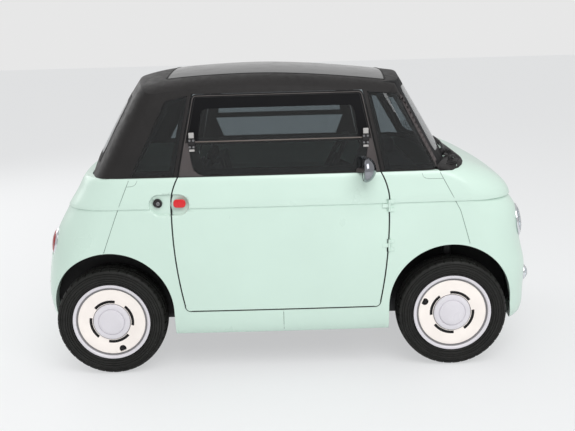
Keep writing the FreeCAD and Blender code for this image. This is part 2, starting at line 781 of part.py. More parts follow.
# Doors. The right-hand one is made here, and the left-hand one is the same turned round.
def eye(name, mid):
    """A door's hinge eye and the arm that joins it to the shut face."""
    barrel = cylinder(name + "_barrel", "hinge_radius", "hinge_eye", hinge_x, "0 - (%s)" % hinge_y,
                      "%s - hinge_eye / 2" % mid)
    arm = box(name + "_arm", "34", "hinge_radius", "hinge_eye", "%s - 34" % hinge_x,
              "0 - (%s)" % hinge_y, "%s - hinge_eye / 2" % mid)
    return fuse(name, barrel, arm)


def pin_hole(name, mid):
    return cylinder(name, "hinge_pin_radius + running_gap", "4 * hinge_eye", hinge_x, "0 - (%s)" % hinge_y,
                    "%s - 2 * hinge_eye" % mid)


pin_holes = fuse("pin_holes", pin_hole("pin_hole_low", "hinge_low"), pin_hole("pin_hole_high", "hinge_high"))
door_skin = cut("door_skin", common("door_low", body_shell, door_low_block), side_tools)
eyes = fuse("eyes", eye("eye_low", "hinge_low"), eye("eye_high", "hinge_high"))
door_panel = cut("door_panel", fuse("door_with_eyes", door_skin, eyes), pin_holes)


def door_pane(name, inset, low):
    """The fixed lower pane, with its round bottom corners, or the flap above it."""
    def side(sign, half):
        return "door_middle %s (%s - (%s))" % (sign, half, inset)
    if low:
        return prism(name, drawn(name + "_outline", SIDE, "0", [
            (side("+", "375"), "belt_level + 8 + (%s)" % inset),
            (side("+", "430"), "1120", side("+", "418"), "1052"),
            (side("+", "432"), "1178 - (%s)" % inset),
            (side("-", "432"), "1178 - (%s)" % inset),
            (side("-", "430"), "1120"),
            (side("-", "375"), "belt_level + 8 + (%s)" % inset, side("-", "418"), "1052"),
        ]), "y", "0", "900")
    return prism(name, drawn(name + "_outline", SIDE, "0", [
        (side("-", "442"), "1184 + (%s)" % inset),
        (side("+", "442"), "1184 + (%s)" % inset),
        (side("+", "door_top_half - 18"), "door_top - 14 - (%s)" % inset),
        (side("-", "door_top_half - 18"), "door_top - 14 - (%s)" % inset),
    ]), "y", "0", "900")


def door_light(name, low):
    """The see-through part behind a pane."""
    def side(sign, half):
        return "door_middle %s %s" % (sign, half)
    if low:
        rows = ("belt_level + 34", "1166", "360", "405")
    else:
        rows = ("1196", "1345", "392", "352")
    foot, head, foot_half, head_half = rows
    return prism(name, drawn(name + "_outline", SIDE, "0", [
        (side("-", foot_half), foot),
        (side("+", foot_half), foot),
        (side("+", head_half), head),
        (side("-", head_half), head),
    ]), "y", "0", "900")


door_upper = common("door_upper", upper_shell, door_block)
panes = fuse("panes", door_pane("pane_low_pocket", "0", True), door_pane("pane_high_pocket", "0", False))
lights = fuse("lights", door_light("light_low", True), door_light("light_high", False))
door_pocket = common("door_pocket", upper_pocket, panes)
door_frame = cut("door_frame", cut("door_frame_open", door_upper, lights), door_pocket)
glass_prisms = fuse("glass_prisms", door_pane("pane_low", "glass_gap", True),
                    door_pane("pane_high", "glass_gap", False))
door_glass = common("door_glass", upper_pane, glass_prisms)

lever = doc.addObject("Part::Ellipsoid", "lever")
lever.Angle1 = -90
lever.Angle2 = 90
bind_all(lever, Radius1="22", Radius2="34", Radius3="10")
put(lever, "door_middle - 486", "14.4 - brow_half", "889")
lever_proud = cut("lever_proud", lever, door_panel)
mirror_cap = doc.addObject("Part::Ellipsoid", "mirror_cap")
mirror_cap.Angle1 = -90
mirror_cap.Angle2 = 90
bind_all(mirror_cap, Radius1="62", Radius2="34", Radius3="74")
put(mirror_cap, "413", "-752", "1041")
mirror_stem = cylinder("mirror_stem", "13", "90", "413", "-745", "belt_level + 6", "y")
mirror = fuse("mirror", mirror_cap, mirror_stem)
mirror_trim = cut("mirror_trim", mirror, fuse("mirror_seat", body_skin, cabin_skin))

for side, place in (("right", group), ("left", turned_round)):
    node("door_%s_panel" % side, place("door_%s_panel" % side, door_panel))
    node("door_%s_frame" % side, place("door_%s_frame" % side, door_frame))
    node("door_%s_glass" % side, place("door_%s_glass" % side, door_glass))
    node("door_%s_handle" % side, place("door_%s_handle" % side, lever_proud))
node("mirror_right", group("mirror_right", mirror_trim))
mirror_left_seat = turned_round("mirror_left_seat", door_panel, door_frame, door_glass)
node("mirror_left", cut("mirror_left", mirrored("mirror_other", mirror_trim), mirror_left_seat))


# Hinge pins and their brackets on the body
def bracket(name, mid):
    """Two ears either side of the door's eye, with the pin through all three."""
    y = "0 - (%s)" % hinge_y
    pieces = [cylinder(name + "_pin", "hinge_pin_radius", "3 * hinge_eye", hinge_x, y,
                       "%s - 1.5 * hinge_eye" % mid)]
    for word, low in (("under", "-1.5 * hinge_eye"), ("over", "0.5 * hinge_eye + seat_gap")):
        level = "%s + %s" % (mid, low)
        pieces.append(cylinder("%s_%s" % (name, word), "hinge_radius", "hinge_eye - seat_gap",
                               hinge_x, y, level))
        pieces.append(box("%s_%s_leaf" % (name, word), "24", "hinge_radius", "hinge_eye - seat_gap",
                          hinge_x, y, level))
    return fuse(name, *pieces)


hinge_pair = group("hinge_pair", bracket("bracket_low", "hinge_low"), bracket("bracket_high", "hinge_high"))
hinge_pair_fitted = cut("hinge_pair_fitted", hinge_pair, cut("quarter_right_copy", front_side, hinge_rooms))
hinge_pair_left = turned_round("hinge_pair_left", hinge_pair_fitted)
node("door_hinges", group("door_hinges", hinge_pair_fitted, hinge_pair_left))

lock_right = cylinder("lock_right", "21", "30", "door_middle - 598", "8 - brow_half", "891", "y")
node("door_locks", group("door_locks", lock_right, turned_round("lock_left", lock_right)))


# Wheels: tyre and rim are spun about the axle line
def tyre_outline(name):
    half = "tyre_width / 2"
    return drawn(name, FRONT, "0", [
        ("6 - rim_width / 2", "rim_seat_radius + seat_gap"),
        ("rim_width / 2 - 6", "rim_seat_radius + seat_gap"),
        ("rim_width / 2 - 6", "rim_radius + 2"),
        (half, "rim_radius + 34"),
        ("%s - 6" % half, "tyre_radius - 16"),
        ("%s - tread_edge" % half, "tyre_radius"),
        ("tread_edge - %s" % half, "tyre_radius"),
        ("6 - %s" % half, "tyre_radius - 16"),
        ("0 - %s" % half, "rim_radius + 34"),
        ("6 - rim_width / 2", "rim_radius + 2"),
    ])


def rim_outline(name):
    return drawn(name, FRONT, "0", [
        ("0 - rim_width / 2", "rim_radius"),
        ("5.5 - rim_width / 2", "rim_radius"),
        ("5.5 - rim_width / 2", "rim_seat_radius"),
        ("rim_width / 2 - 5.5", "rim_seat_radius"),
        ("rim_width / 2 - 5.5", "rim_radius"),
        ("rim_width / 2", "rim_radius"),
        ("rim_width / 2 + 1", "174"),
        ("58", "170"),
        ("56", "99"),
        ("62", "96"),
        ("64", "70"),
        ("72", "0", "70", "40"),
        ("45", "0"),
        ("45", "stub_radius + running_gap"),
        ("-14", "stub_radius + running_gap"),
        ("-14", "58"),
        ("40", "62"),
        ("48", "100"),
        ("48", "150"),
        ("0 - rim_width / 2", "172"),
    ])


AXLE = Vector(0, 1, 0)
tyre_form = turned("tyre_form", tyre_outline("tyre_outline"), AXLE)
rim_form = turned("rim_form", rim_outline("rim_outline"), AXLE)


def slot_tool(name, angle):
    """One curved slot, cut from the outside in."""
    outline = drawn(name + "_outline", SIDE, "0", [
        ("106 * cos(25)", "0 - 106 * sin(25)"),
        ("106 * cos(25)", "106 * sin(25)", "106", "0"),
        ("90 * cos(25)", "90 * sin(25)"),
        ("90 * cos(25)", "0 - 90 * sin(25)", "90", "0"),
    ])
    item = prism(name, outline, "y", "80", "0")
    item.Placement = Placement(Vector(), Rotation(Vector(0, 1, 0), angle))
    return item


slot_tools = fuse("slot_tools", *[slot_tool("slot_tool_%d" % step, 90 * step) for step in range(4)])
valve_hole = cylinder("valve_hole", "15", "80", "140", "0", "0", "y")
wheel_form = cut("wheel_form", rim_form, fuse("wheel_holes", slot_tools, valve_hole))


def stationed(name, source, x, y, facing, spin):
    """A wheel piece at its corner of the car, outer face outwards, its valve turned to where it stands."""
    item = group(name, source)
    item.Placement = Placement(Vector(), Rotation(Vector(0, 0, 1), 0 if facing > 0 else 180)
                               * Rotation(Vector(0, 1, 0), spin))
    return put(item, x, y, "tyre_radius")


CORNERS = (
    ("front_left", "front_axle", 1, -40), ("front_right", "front_axle", -1, -24),
    ("rear_left", "front_axle - wheelbase", 1, 25), ("rear_right", "front_axle - wheelbase", -1, 108),
)
for corner, axle, sign, spin in CORNERS:
    across = "%d * wheel_track / 2" % sign
    node("tyre_" + corner, stationed("tyre_" + corner, tyre_form, axle, across, sign, spin))
    node("wheel_" + corner, stationed("wheel_" + corner, wheel_form, axle, across, sign, spin))


# Steered uprights
def knuckle(name):
    post = cylinder(name + "_post", "20", "170", "front_axle", "kingpin_offset", "tyre_radius - 85")
    flange = cylinder(name + "_flange", "52", "20", "front_axle", "kingpin_offset + 14", "tyre_radius", "y")
    stub = cylinder(name + "_stub", "stub_radius", "wheel_track / 2 + 44.7 - kingpin_offset",
                    "front_axle", "kingpin_offset", "tyre_radius", "y")
    arm = box(name + "_arm", "110", "26", "14", "front_axle - 110", "kingpin_offset - 22", "tyre_radius - 60")
    return fuse(name, post, flange, stub, arm)


knuckle_left = node("knuckle_left", knuckle("knuckle_left"))
node("knuckle_right", mirrored("knuckle_right", knuckle_left))

# Wheel arch liners
def liner(name, axle, inner, outer):
    """A round tunnel over the wheel with a flat inner wall, open below and outwards."""
    length = "%s - %s" % (outer, inner)
    hood = cylinder(name + "_outer", "liner_radius", length, axle, inner, "tyre_radius", "y")
    space = cylinder(name + "_space", "liner_radius - liner_thick", "%s - liner_thick + 10" % length, axle,
                     "%s + liner_thick" % inner, "tyre_radius", "y")
    under = box(name + "_under", "900", "500", "400", "%s - 450" % axle, "%s - 20" % inner,
                "tyre_radius - 420")
    return cut(name, cut(name + "_tunnel", hood, space), under)


liner_front = liner("liner_front", "front_axle", "front_liner_inner", "600")
liner_rear = liner("liner_rear", "(front_axle - wheelbase)", "rear_liner_inner", "600")
inside = common("inside", body_core, box("inside_box", "3000", "1400", "900", "-1500", "-700", "hem_level"))
shaft_gap = box("shaft_gap", "120", "200", "260", "front_axle - 60", "front_liner_inner - 60",
                "tyre_radius - 80")
strut_gap = cylinder("strut_gap", "36", "500", "front_axle", "kingpin_offset", "tyre_radius")
liner_front_open = common("liner_front_fitted", inside, cut(
    "liner_front_open", liner_front, fuse("liner_gaps", shaft_gap, strut_gap)))
axle_gap = cylinder("axle_gap", "36", "100", "front_axle - wheelbase", "rear_liner_inner - 50",
                    "tyre_radius", "y")
liner_rear_fitted = common("liner_rear_fitted", inside, cut("liner_rear_open", liner_rear, axle_gap))
node("arch_liners", group("arch_liners", liner_front_open, mirrored("liner_front_other", liner_front_open),
                          liner_rear_fitted, mirrored("liner_rear_other", liner_rear_fitted)))

# Floor and frame
floor_front = "front_axle - liner_radius - 10"
floor_rear = "wheelbase - front_axle - liner_radius - 10"
floor_main = box("floor_main", "%s + %s" % (floor_front, floor_rear), "1400", "floor_thick",
                 "0 - (%s)" % floor_rear, "-700", "floor_height")
floor_nose = box("floor_nose", "hem_front + 40 - (%s)" % floor_front, "2 * front_liner_inner - 2 * seat_gap",
                 "floor_thick", floor_front, "seat_gap - front_liner_inner", "floor_height")
floor_tail = box("floor_tail", "hem_rear + 40 - (%s)" % floor_rear, "2 * rear_liner_inner - 2 * seat_gap",
                 "floor_thick", "0 - hem_rear - 20", "seat_gap - rear_liner_inner", "tyre_radius + 45")
floor_step = box("floor_step", "20", "2 * rear_liner_inner - 2 * seat_gap",
                 "tyre_radius + 45 + floor_thick - floor_height", "0 - (%s)" % floor_rear,
                 "seat_gap - rear_liner_inner", "floor_height")
floor_whole = fuse("floor_whole", floor_main, floor_nose, floor_tail, floor_step)
node("floor_pan", common("floor_pan", inside, floor_whole))


def rail(name, y):
    return box(name, "2060", "50", "60", "-1060", y, "floor_height - 60")


cross_members = [box("cross_%d" % index, "60", "560", "50", str(place), "-280", "floor_height - 55")
                 for index, place in enumerate((-1060, -560, 40, 440, 940))]
saddles = [box("saddle_%s" % side, "90", "50", "tyre_radius - floor_height + 10",
               "front_axle - wheelbase - 45", y, "floor_height - 10")
           for side, y in (("left", "280"), ("right", "-330"))]
axle_room = cylinder("axle_room", "32 + seat_gap", "wheel_track", "front_axle - wheelbase",
                     "0 - wheel_track / 2", "tyre_radius", "y")
frame_whole = fuse("frame_whole", rail("rail_left", "280"), rail("rail_right", "-330"), *cross_members,
                   *saddles)
node("frame_rails", cut("frame_rails", frame_whole, axle_room))
node("battery_block", box("battery_block", "battery_length", "battery_width", "battery_height", "-490",
                          "0 - battery_width / 2", "floor_height + floor_thick"))
node("motor_block", box("motor_block", "motor_length", "motor_width", "motor_height",
                        "front_axle - motor_length / 2", "0 - motor_width / 2", "floor_height + floor_thick"))


# Bumper beam behind the front moulding, with the screw socket for a towing eye
beam_x = "hem_front - 90"
beam = box("beam", "35", "2 * front_liner_inner - 60", "tow_level + 50 - floor_height - floor_thick", beam_x,
           "30 - front_liner_inner", "floor_height + floor_thick")
socket = cylinder("socket", "tow_radius + 7", "70", "%s + 30" % beam_x, "0 - tow_offset", "tow_level", "x")
socket_bore = cylinder("socket_bore", "tow_radius", "tow_depth", "%s + 100 - tow_depth" % beam_x,
                       "0 - tow_offset", "tow_level", "x")
node("bumper_beam", cut("bumper_beam", fuse("beam_and_socket", beam, socket), socket_bore))


# Front suspension: lower arms, struts and a cross beam
def front_leg(name):
    arm = box(name + "_arm", "50", "kingpin_offset - 330 + 20", "16", "front_axle - 25", "330",
              "tyre_radius - 85 - seat_gap - 16")
    strut = cylinder(name + "_strut", "24", "330", "front_axle", "kingpin_offset",
                     "tyre_radius + 85 + seat_gap")
    tower = box(name + "_tower", "90", "kingpin_offset - 270", "20", "front_axle - 45", "290",
                "tyre_radius + 85 + 330")
    return group(name, arm, fuse(name + "_upper", strut, tower))


front_leg_left = front_leg("front_leg_left")
front_leg_right = mirrored("front_leg_right", front_leg_left)
node("front_suspension", group("front_suspension", front_leg_left, front_leg_right))

rear_beam = cylinder("rear_beam", "32", "2 * (wheel_track / 2 - 90)", "front_axle - wheelbase",
                     "90 - wheel_track / 2", "tyre_radius", "y")
rear_stub = cylinder("rear_stub", "stub_radius", "wheel_track + 2 * 44.7", "front_axle - wheelbase",
                     "0 - wheel_track / 2 - 44.7", "tyre_radius", "y")
node("rear_axle", fuse("rear_axle", rear_beam, rear_stub))


# Bulkhead between the footwells and the motor, with the two pedals hung on it
bulkhead_x = "front_axle - motor_length / 2 - 14"
node("bulkhead", box("bulkhead", "6", "2 * front_liner_inner - 2 * seat_gap",
                     "650 - floor_height - floor_thick", bulkhead_x, "seat_gap - front_liner_inner",
                     "floor_height + floor_thick"))


def pedal(name, y, width):
    """A hanging pedal: a bent arm and its pad."""
    arm = prism(name + "_arm", drawn(name + "_arm_outline", SIDE, "%s + %s / 2 - 7" % (y, width), [
        (bulkhead_x, "540"),
        (bulkhead_x, "570"),
        ("%s - 70" % bulkhead_x, "556"),
        ("%s - 112" % bulkhead_x, "430"),
        ("%s - 112" % bulkhead_x, "400"),
        ("%s - 96" % bulkhead_x, "400"),
        ("%s - 58" % bulkhead_x, "534"),
    ]), "y", "0", "14")
    pad = box(name + "_pad", "14", width, "72", "%s - 124" % bulkhead_x, y, "376")
    return fuse(name, arm, pad)


node("pedals", group("pedals", pedal("brake_pedal", "232", "72"), pedal("throttle_pedal", "150", "44")))


# Cabin
for side, sign in (("left", "1"), ("right", "-1")):
    middle = "%s * seat_offset" % sign
    low = "%s - seat_width / 2" % middle
    base = box("seat_%s_base" % side, "400", "seat_width - 120", "60", "-300", "%s + 60" % low,
               "seat_height - cushion_thick - 60")
    feet = box("seat_%s_feet" % side, "260", "70",
               "seat_height - cushion_thick - 60 - floor_height - floor_thick", "-230", "%s - 35" % middle,
               "floor_height + floor_thick")
    spine = drawn("seat_%s_back_outline" % side, SIDE, "%s + 40" % low, [
        ("-346", "seat_height - cushion_thick - 60"),
        ("-300", "seat_height - cushion_thick - 60"),
        ("-400", "1010"),
        ("-440", "1010"),
    ])
    back = prism("seat_%s_back" % side, spine, "y", "seat_width - 80")
    shell = fuse("seat_%s_shell" % side, base, feet, back)
    node("seat_%s_shell" % side, shell)
    cushion = box("seat_%s_pad" % side, "400", "seat_width", "cushion_thick", "-250", low,
                  "seat_height - cushion_thick + seat_gap")
    rest_line = drawn("seat_%s_rest_outline" % side, SIDE, "%s + 20" % low, [
        ("-324 + seat_gap", "seat_height + 20"),
        ("-260 + seat_gap", "seat_height + 20"),
        ("-344 + seat_gap", "1000"),
        ("-398 + seat_gap", "1000"),
    ])
    rest = prism("seat_%s_rest" % side, rest_line, "y", "seat_width - 40")
    node("seat_%s_cushion" % side, group("seat_%s_cushion" % side, cushion, rest))

dash_outline = drawn("dash_outline", SIDE, "0", [
    ("520", "690"), ("600", "650"), ("700", "650"), ("745", "940"), ("700", "985"), ("560", "975"),
    ("500", "900"),
])
dash_middle = prism("dash_middle", dash_outline, "y", "600", "600")
dash_whole = prism("dash_whole", dash_outline, "y", "700", "700")
ahead_of_doors = box("ahead_of_doors", "400", "1500", "600", "door_middle + door_wide_half + 26", "-750",
                     "500")
dash_fitted = common("dash_fitted", body_core, dash_whole)
dash = fuse("dash", dash_middle, common("dash_ends", dash_fitted, ahead_of_doors))
node("dashboard", dash)

column_turn = Rotation(Vector(0, 1, 0), 118)
wheel_x, wheel_z = "300", "930"


def along_column(item, x, y, z):
    """Places a piece by its own axes on the steering column, z running down towards the dashboard."""
    item.Placement = Placement(Vector(), column_turn)
    return put(item, "%s + %s * cos(118) + %s * sin(118)" % (wheel_x, x, z), "steering_offset + %s" % y,
               "%s - %s * sin(118) + %s * cos(118)" % (wheel_z, x, z))


column = doc.addObject("Part::Cylinder", "column")
bind_all(column, Radius="26", Height="260")
along_column(column, "0", "0", "26.3")
node("steering_column", cut("steering_column", column, dash))
ring = doc.addObject("Part::Torus", "ring")
bind_all(ring, Radius1="steering_radius", Radius2="15")
along_column(ring, "0", "0", "0")
hub = doc.addObject("Part::Cylinder", "hub")
bind_all(hub, Radius="50", Height="36")
along_column(hub, "0", "0", "-10")
spoke = doc.addObject("Part::Box", "spoke")
bind_all(spoke, Length="30", Width="2 * steering_radius - 10", Height="14")
along_column(spoke, "-15", "(5 - steering_radius)", "-4")
node("steering_wheel", fuse("steering_wheel", ring, hub, spoke))

doc.recompute()

faults = []
for item in doc.Objects:
    if "Invalid" in item.State or "Error" in item.State:
        faults.append("%s is %s" % (item.Name, ", ".join(item.State)))
for item in nodes:
    if item.Shape.isNull() or not item.Shape.isValid():
        faults.append("%s has no valid shape" % item.Label)
if faults:
    raise SystemExit("\n".join(faults))
for item in nodes:
    item.Shape.exportStep("parts/%s.step" % item.Label)
    print(item.Label, len(item.Shape.Solids), len(item.Shape.Faces), round(item.Shape.Volume / 1e6, 3))
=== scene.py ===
import json
import math

import bmesh
import bpy
from mathutils import Matrix, Vector
from mathutils.bvhtree import BVHTree
from mathutils.kdtree import KDTree


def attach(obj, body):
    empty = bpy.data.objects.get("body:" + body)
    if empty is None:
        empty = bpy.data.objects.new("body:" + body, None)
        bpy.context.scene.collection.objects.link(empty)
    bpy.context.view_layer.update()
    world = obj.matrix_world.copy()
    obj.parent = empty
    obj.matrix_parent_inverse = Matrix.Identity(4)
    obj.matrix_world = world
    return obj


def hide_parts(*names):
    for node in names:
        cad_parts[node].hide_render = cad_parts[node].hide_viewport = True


# A two-seat electric microcar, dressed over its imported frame. +X is forward, +Y is the car's left.
# The functions that make and place pieces take millimetres and degrees. The meshes are in metres.

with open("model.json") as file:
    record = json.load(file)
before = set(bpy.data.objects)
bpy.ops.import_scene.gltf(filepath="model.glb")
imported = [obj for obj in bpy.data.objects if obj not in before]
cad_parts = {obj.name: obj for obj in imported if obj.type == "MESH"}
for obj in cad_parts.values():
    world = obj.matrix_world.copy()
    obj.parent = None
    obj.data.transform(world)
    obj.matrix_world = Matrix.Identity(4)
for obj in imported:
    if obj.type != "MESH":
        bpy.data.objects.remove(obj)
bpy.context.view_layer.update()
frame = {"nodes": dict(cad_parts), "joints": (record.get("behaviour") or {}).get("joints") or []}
nodes = frame["nodes"]
joints = {joint["name"]: joint for joint in frame["joints"]}
MM = 0.001
SIDES = ((-1, "right"), (1, "left"))


def pivot_of(joint):
    """A joint's place in millimetres."""
    return [part / MM for part in joints[joint]["pos_m"]]


DOOR_MIDDLE = (pivot_of("door_right_swing")[0] + pivot_of("door_left_swing")[0]) / 2


def rgb(red, green, blue):
    """A colour as it looks on a screen, 0 to 255, in the linear values that a shader takes."""
    def linear(part):
        part /= 255
        return part / 12.92 if part <= 0.04045 else ((part + 0.055) / 1.055) ** 2.4
    return linear(red), linear(green), linear(blue)


# Working with meshes by hand

def take(piece):
    """Makes a piece the only selected one."""
    bpy.ops.object.select_all(action="DESELECT")
    piece.select_set(True)
    bpy.context.view_layer.objects.active = piece
    return piece


def started(name):
    piece = bpy.context.object
    piece.name = name
    piece.data.name = name
    return piece


def edit(piece):
    """Opens a piece in edit mode with all of it selected."""
    take(piece)
    bpy.ops.object.mode_set(mode="EDIT")
    bpy.ops.mesh.select_mode(type="VERT")
    bpy.ops.mesh.select_all(action="SELECT")


def leave():
    bpy.ops.object.mode_set(mode="OBJECT")


def pick(piece, test, kind="FACE"):
    """In edit mode, selects the faces or the points whose middle passes a test."""
    bpy.ops.mesh.select_mode(type=kind)
    bpy.ops.mesh.select_all(action="DESELECT")
    mesh = bmesh.from_edit_mesh(piece.data)
    for face in mesh.faces if kind == "FACE" else ():
        face.select = test(face.calc_center_median())
    for vert in mesh.verts if kind == "VERT" else ():
        vert.select = test(vert.co)
    mesh.select_flush_mode()
    bmesh.update_edit_mesh(piece.data)


def move(x=0, z=0):
    bpy.ops.transform.translate(value=(x * MM, 0, z * MM))


def grow(x, y, z, about):
    bpy.ops.transform.resize(value=(x, y, z), center_override=[part * MM for part in about])


def extrude(x=0, y=0, z=0):
    bpy.ops.mesh.extrude_region_move(TRANSFORM_OT_translate={"value": (x * MM, y * MM, z * MM)})


def faces_outwards(piece):
    edit(piece)
    bpy.ops.mesh.remove_doubles(threshold=0.02 * MM)
    bpy.ops.mesh.normals_make_consistent(inside=False)
    leave()
    return piece


def flip(piece):
    """Turns all faces of a piece the other way."""
    edit(piece)
    bpy.ops.mesh.flip_normals()
    leave()
    return piece


def applied(piece, kind, **settings):
    """Adds a modifier, sets it up and applies it."""
    take(piece)
    modifier = piece.modifiers.new(kind.title(), kind)
    for name, value in settings.items():
        setattr(modifier, name, value)
    bpy.ops.object.modifier_apply(modifier=modifier.name)
    return piece


def placed(piece, location=(0, 0, 0), turn=(0, 0, 0), scale=(1, 1, 1)):
    """Puts a piece in place and writes that place into its mesh."""
    take(piece)
    piece.scale = scale
    piece.rotation_euler = [math.radians(angle) for angle in turn]
    piece.location = [part * MM for part in location]
    bpy.ops.object.transform_apply(location=True, rotation=True, scale=True)
    return piece


def copied(piece, name):
    take(piece)
    bpy.ops.object.duplicate(linked=False)
    return started(name)


def flipped(piece, name):
    """A copy on the other side of the car."""
    return flip(placed(copied(piece, name), scale=(1, -1, 1)))


def joined(name, *pieces):
    take(pieces[0])
    for piece in pieces[1:]:
        piece.select_set(True)
    bpy.ops.object.join()
    return started(name)


def smooth(piece, angle=35):
    take(piece)
    bpy.ops.object.shade_smooth_by_angle(angle=math.radians(angle))
    return piece


def dress(piece, material, body="root"):
    """Gives a finished piece its material and the body that carries it."""
    if material is not None:
        piece.data.materials.clear()
        piece.data.materials.append(material)
    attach(piece, body)
    return piece


def turned_round(piece, name):
    """A right-hand door's piece, turned about the middle of the doorways to the left side."""
    return placed(placed(copied(piece, name), turn=(0, 0, 180)), (2 * DOOR_MIDDLE, 0, 0))


def on_doors(piece, material, bodies=("door_right", "door_left")):
    """Dresses a piece of the right-hand doorway and makes the left-hand one's."""
    other = turned_round(piece, piece.name + "_left")
    return [dress(form, material, body) for form, body in zip((piece, other), bodies)]


def on_both_sides(piece, material, bodies=("root", "root")):
    """Dresses a piece of the right-hand side and makes its mirror image."""
    other = flipped(piece, piece.name + "_left")
    return [dress(form, material, body) for form, body in zip((piece, other), bodies)]


def paint(piece, material, test):
    """Gives the faces whose middle passes a test another material."""
    piece.data.materials.append(material)
    for face in piece.data.polygons:
        if test(face.center):
            face.material_index = len(piece.data.materials) - 1


def lathe(name, rings, count):
    """A form turned about Z from (height, radius) rings. A radius of 0 closes it."""
    height, radius = rings[0]
    bpy.ops.mesh.primitive_circle_add(vertices=count, radius=max(radius, 1) * MM,
                                      fill_type="NOTHING" if radius else "TRIFAN")
    piece = started(name)
    edit(piece)
    move(z=height)
    if radius == 0:
        bpy.ops.mesh.region_to_loop()
        radius = 1
    for next_height, next_radius in rings[1:]:
        extrude(z=next_height - height)
        if next_radius == 0:
            bpy.ops.mesh.merge(type="CENTER")
            break
        share = next_radius / radius
        grow(share, share, 1, (0, 0, next_height))
        height, radius = next_height, next_radius
    leave()
    return faces_outwards(piece)


def rounded_box(name, low, high, edge, segments=3):
    """A block between two corners, its edges rounded."""
    bpy.ops.mesh.primitive_cube_add(size=1)
    piece = started(name)
    size = [(b - a) * MM for a, b in zip(low, high)]
    placed(piece, [(a + b) / 2 for a, b in zip(low, high)], scale=size)
    return applied(piece, "BEVEL", width=edge * MM, segments=segments, limit_method="NONE")


def rod(name, points, radius, closed=False, sides=3):
    """A round bar or cord along points."""
    bpy.ops.curve.primitive_nurbs_path_add()
    piece = started(name)
    piece.data.splines.clear()
    spline = piece.data.splines.new("NURBS")
    spline.points.add(len(points) - 1)
    for point, place in zip(spline.points, points):
        point.co = (*[part * MM for part in place], 1)
    spline.order_u = 3
    spline.use_endpoint_u = not closed
    spline.use_cyclic_u = closed
    piece.data.resolution_u = 6
    piece.data.bevel_depth = radius * MM
    piece.data.bevel_resolution = sides
    piece.data.use_fill_caps = True
    bpy.ops.object.convert(target="MESH")
    return faces_outwards(started(name))


# Seating pieces on the car
trees = {}
OUTSIDE = 2000
BESIDE = 1500
NEAR_SIDE = -400
SEAM_SEARCH = ((0, 0), (3, 0), (-3, 0), (0, 5), (0, -5), (9, 0), (-9, 0))


def tree_of(name):
    if name not in trees:
        mesh = nodes[name].data
        trees[name] = BVHTree.FromPolygons([vert.co for vert in mesh.vertices],
                                           [face.vertices for face in mesh.polygons])
    return trees[name]


def met(start, direction, names):
    """The first point that a line meets on the named nodes."""
    origin = Vector(start) * MM
    hits = [tree_of(name).ray_cast(origin, Vector(direction))[0] for name in names]
    hits = [hit for hit in hits if hit]
    if not hits:
        raise ValueError("nothing of %s lies beyond %s" % (", ".join(names), start))
    return min(hits, key=lambda hit: (hit - origin).length) / MM


def beside(x, z, names, proud=0):
    """A point on the right-hand side, also over a seam, where a line would pass between two panels."""
    faces = []
    for across, up in SEAM_SEARCH:
        try:
            faces.append(met((x + across, -BESIDE, z + up), (0, 1, 0), names).y)
        except ValueError:
            continue
        if across == up == 0 and faces[0] < NEAR_SIDE:
            break
    if not faces:
        raise ValueError("nothing of %s lies beside %s, %s" % (", ".join(names), x, z))
    return Vector((x, min(faces) - proud, z))


def ahead(y, z, names, proud, sign=1):
    """A point on the front, or on the back where sign is -1."""
    return Vector((met((sign * OUTSIDE, y, z), (-sign, 0, 0), names).x + sign * proud, y, z))


def above(x, y, names, proud=0):
    """A point on the top of the car."""
    return Vector((x, y, met((x, y, OUTSIDE), (0, 0, -1), names).z + proud))


def spread(points, step):
    """The same route with more points, no further apart than a step."""
    route = [Vector(points[0])]
    for start, end in zip(points, points[1:]):
        start, end = Vector(start), Vector(end)
        parts = max(1, math.ceil((end - start).length / step))
        route += [start.lerp(end, part / parts) for part in range(1, parts + 1)]
    return route


def traced(points, names, proud, step=24):
    """A route given in the side view as (x, z), laid on the right-hand side."""
    return [beside(x, z, names, proud) for x, z in spread(points, step)]


def flat_face(name, outline, put):
    """One face with a corner for each point of an outline, put in place by a function."""
    bpy.ops.mesh.primitive_circle_add(vertices=len(outline), radius=1, fill_type="NGON")
    piece = started(name)
    for vert, point in zip(piece.data.vertices, outline):
        vert.co = [part * MM for part in put(*point)]
    return piece


def laid_panel(name, outline, lay, outwards, thick, step):
    """A thin panel whose outline is laid on the car point by point."""
    piece = flat_face(name, outline, lambda across, up: (across, up, 0))
    edit(piece)
    for axis, normal in ((0, (1, 0, 0)), (1, (0, 1, 0))):
        low = min(point[axis] for point in outline)
        high = max(point[axis] for point in outline)
        for row in range(1, math.ceil((high - low) / step)):
            bpy.ops.mesh.select_all(action="SELECT")
            place = [(low + row * step) * MM * part for part in normal]
            bpy.ops.mesh.bisect(plane_co=place, plane_no=normal)
    leave()
    for vert in piece.data.vertices:
        vert.co = lay(vert.co.x / MM, vert.co.y / MM) * MM
    edit(piece)
    bpy.ops.mesh.normals_make_consistent(inside=False)
    leave()
    if sum(face.normal.dot(Vector(outwards)) for face in piece.data.polygons) < 0:
        flip(piece)
    applied(piece, "SOLIDIFY", thickness=thick * MM, offset=-1)
    return faces_outwards(piece)


def panel_on(name, outline, names, proud, thick, step=24):
    """A thin panel on the right-hand side, its outline given in the side view."""
    return laid_panel(name, outline, lambda x, z: beside(x, z, names, proud), (0, -1, 0), thick, step)


def rounded_corners(points, radius, steps=5):
    """An outline with its corners rounded."""
    outline = []
    for index, corner in enumerate(points):
        corner = Vector(corner)
        start = corner + (Vector(points[index - 1]) - corner).normalized() * radius
        end = corner + (Vector(points[(index + 1) % len(points)]) - corner).normalized() * radius
        for step in range(steps + 1):
            share = step / steps
            outline.append(tuple(start.lerp(corner, share).lerp(corner.lerp(end, share), share)))
    return outline


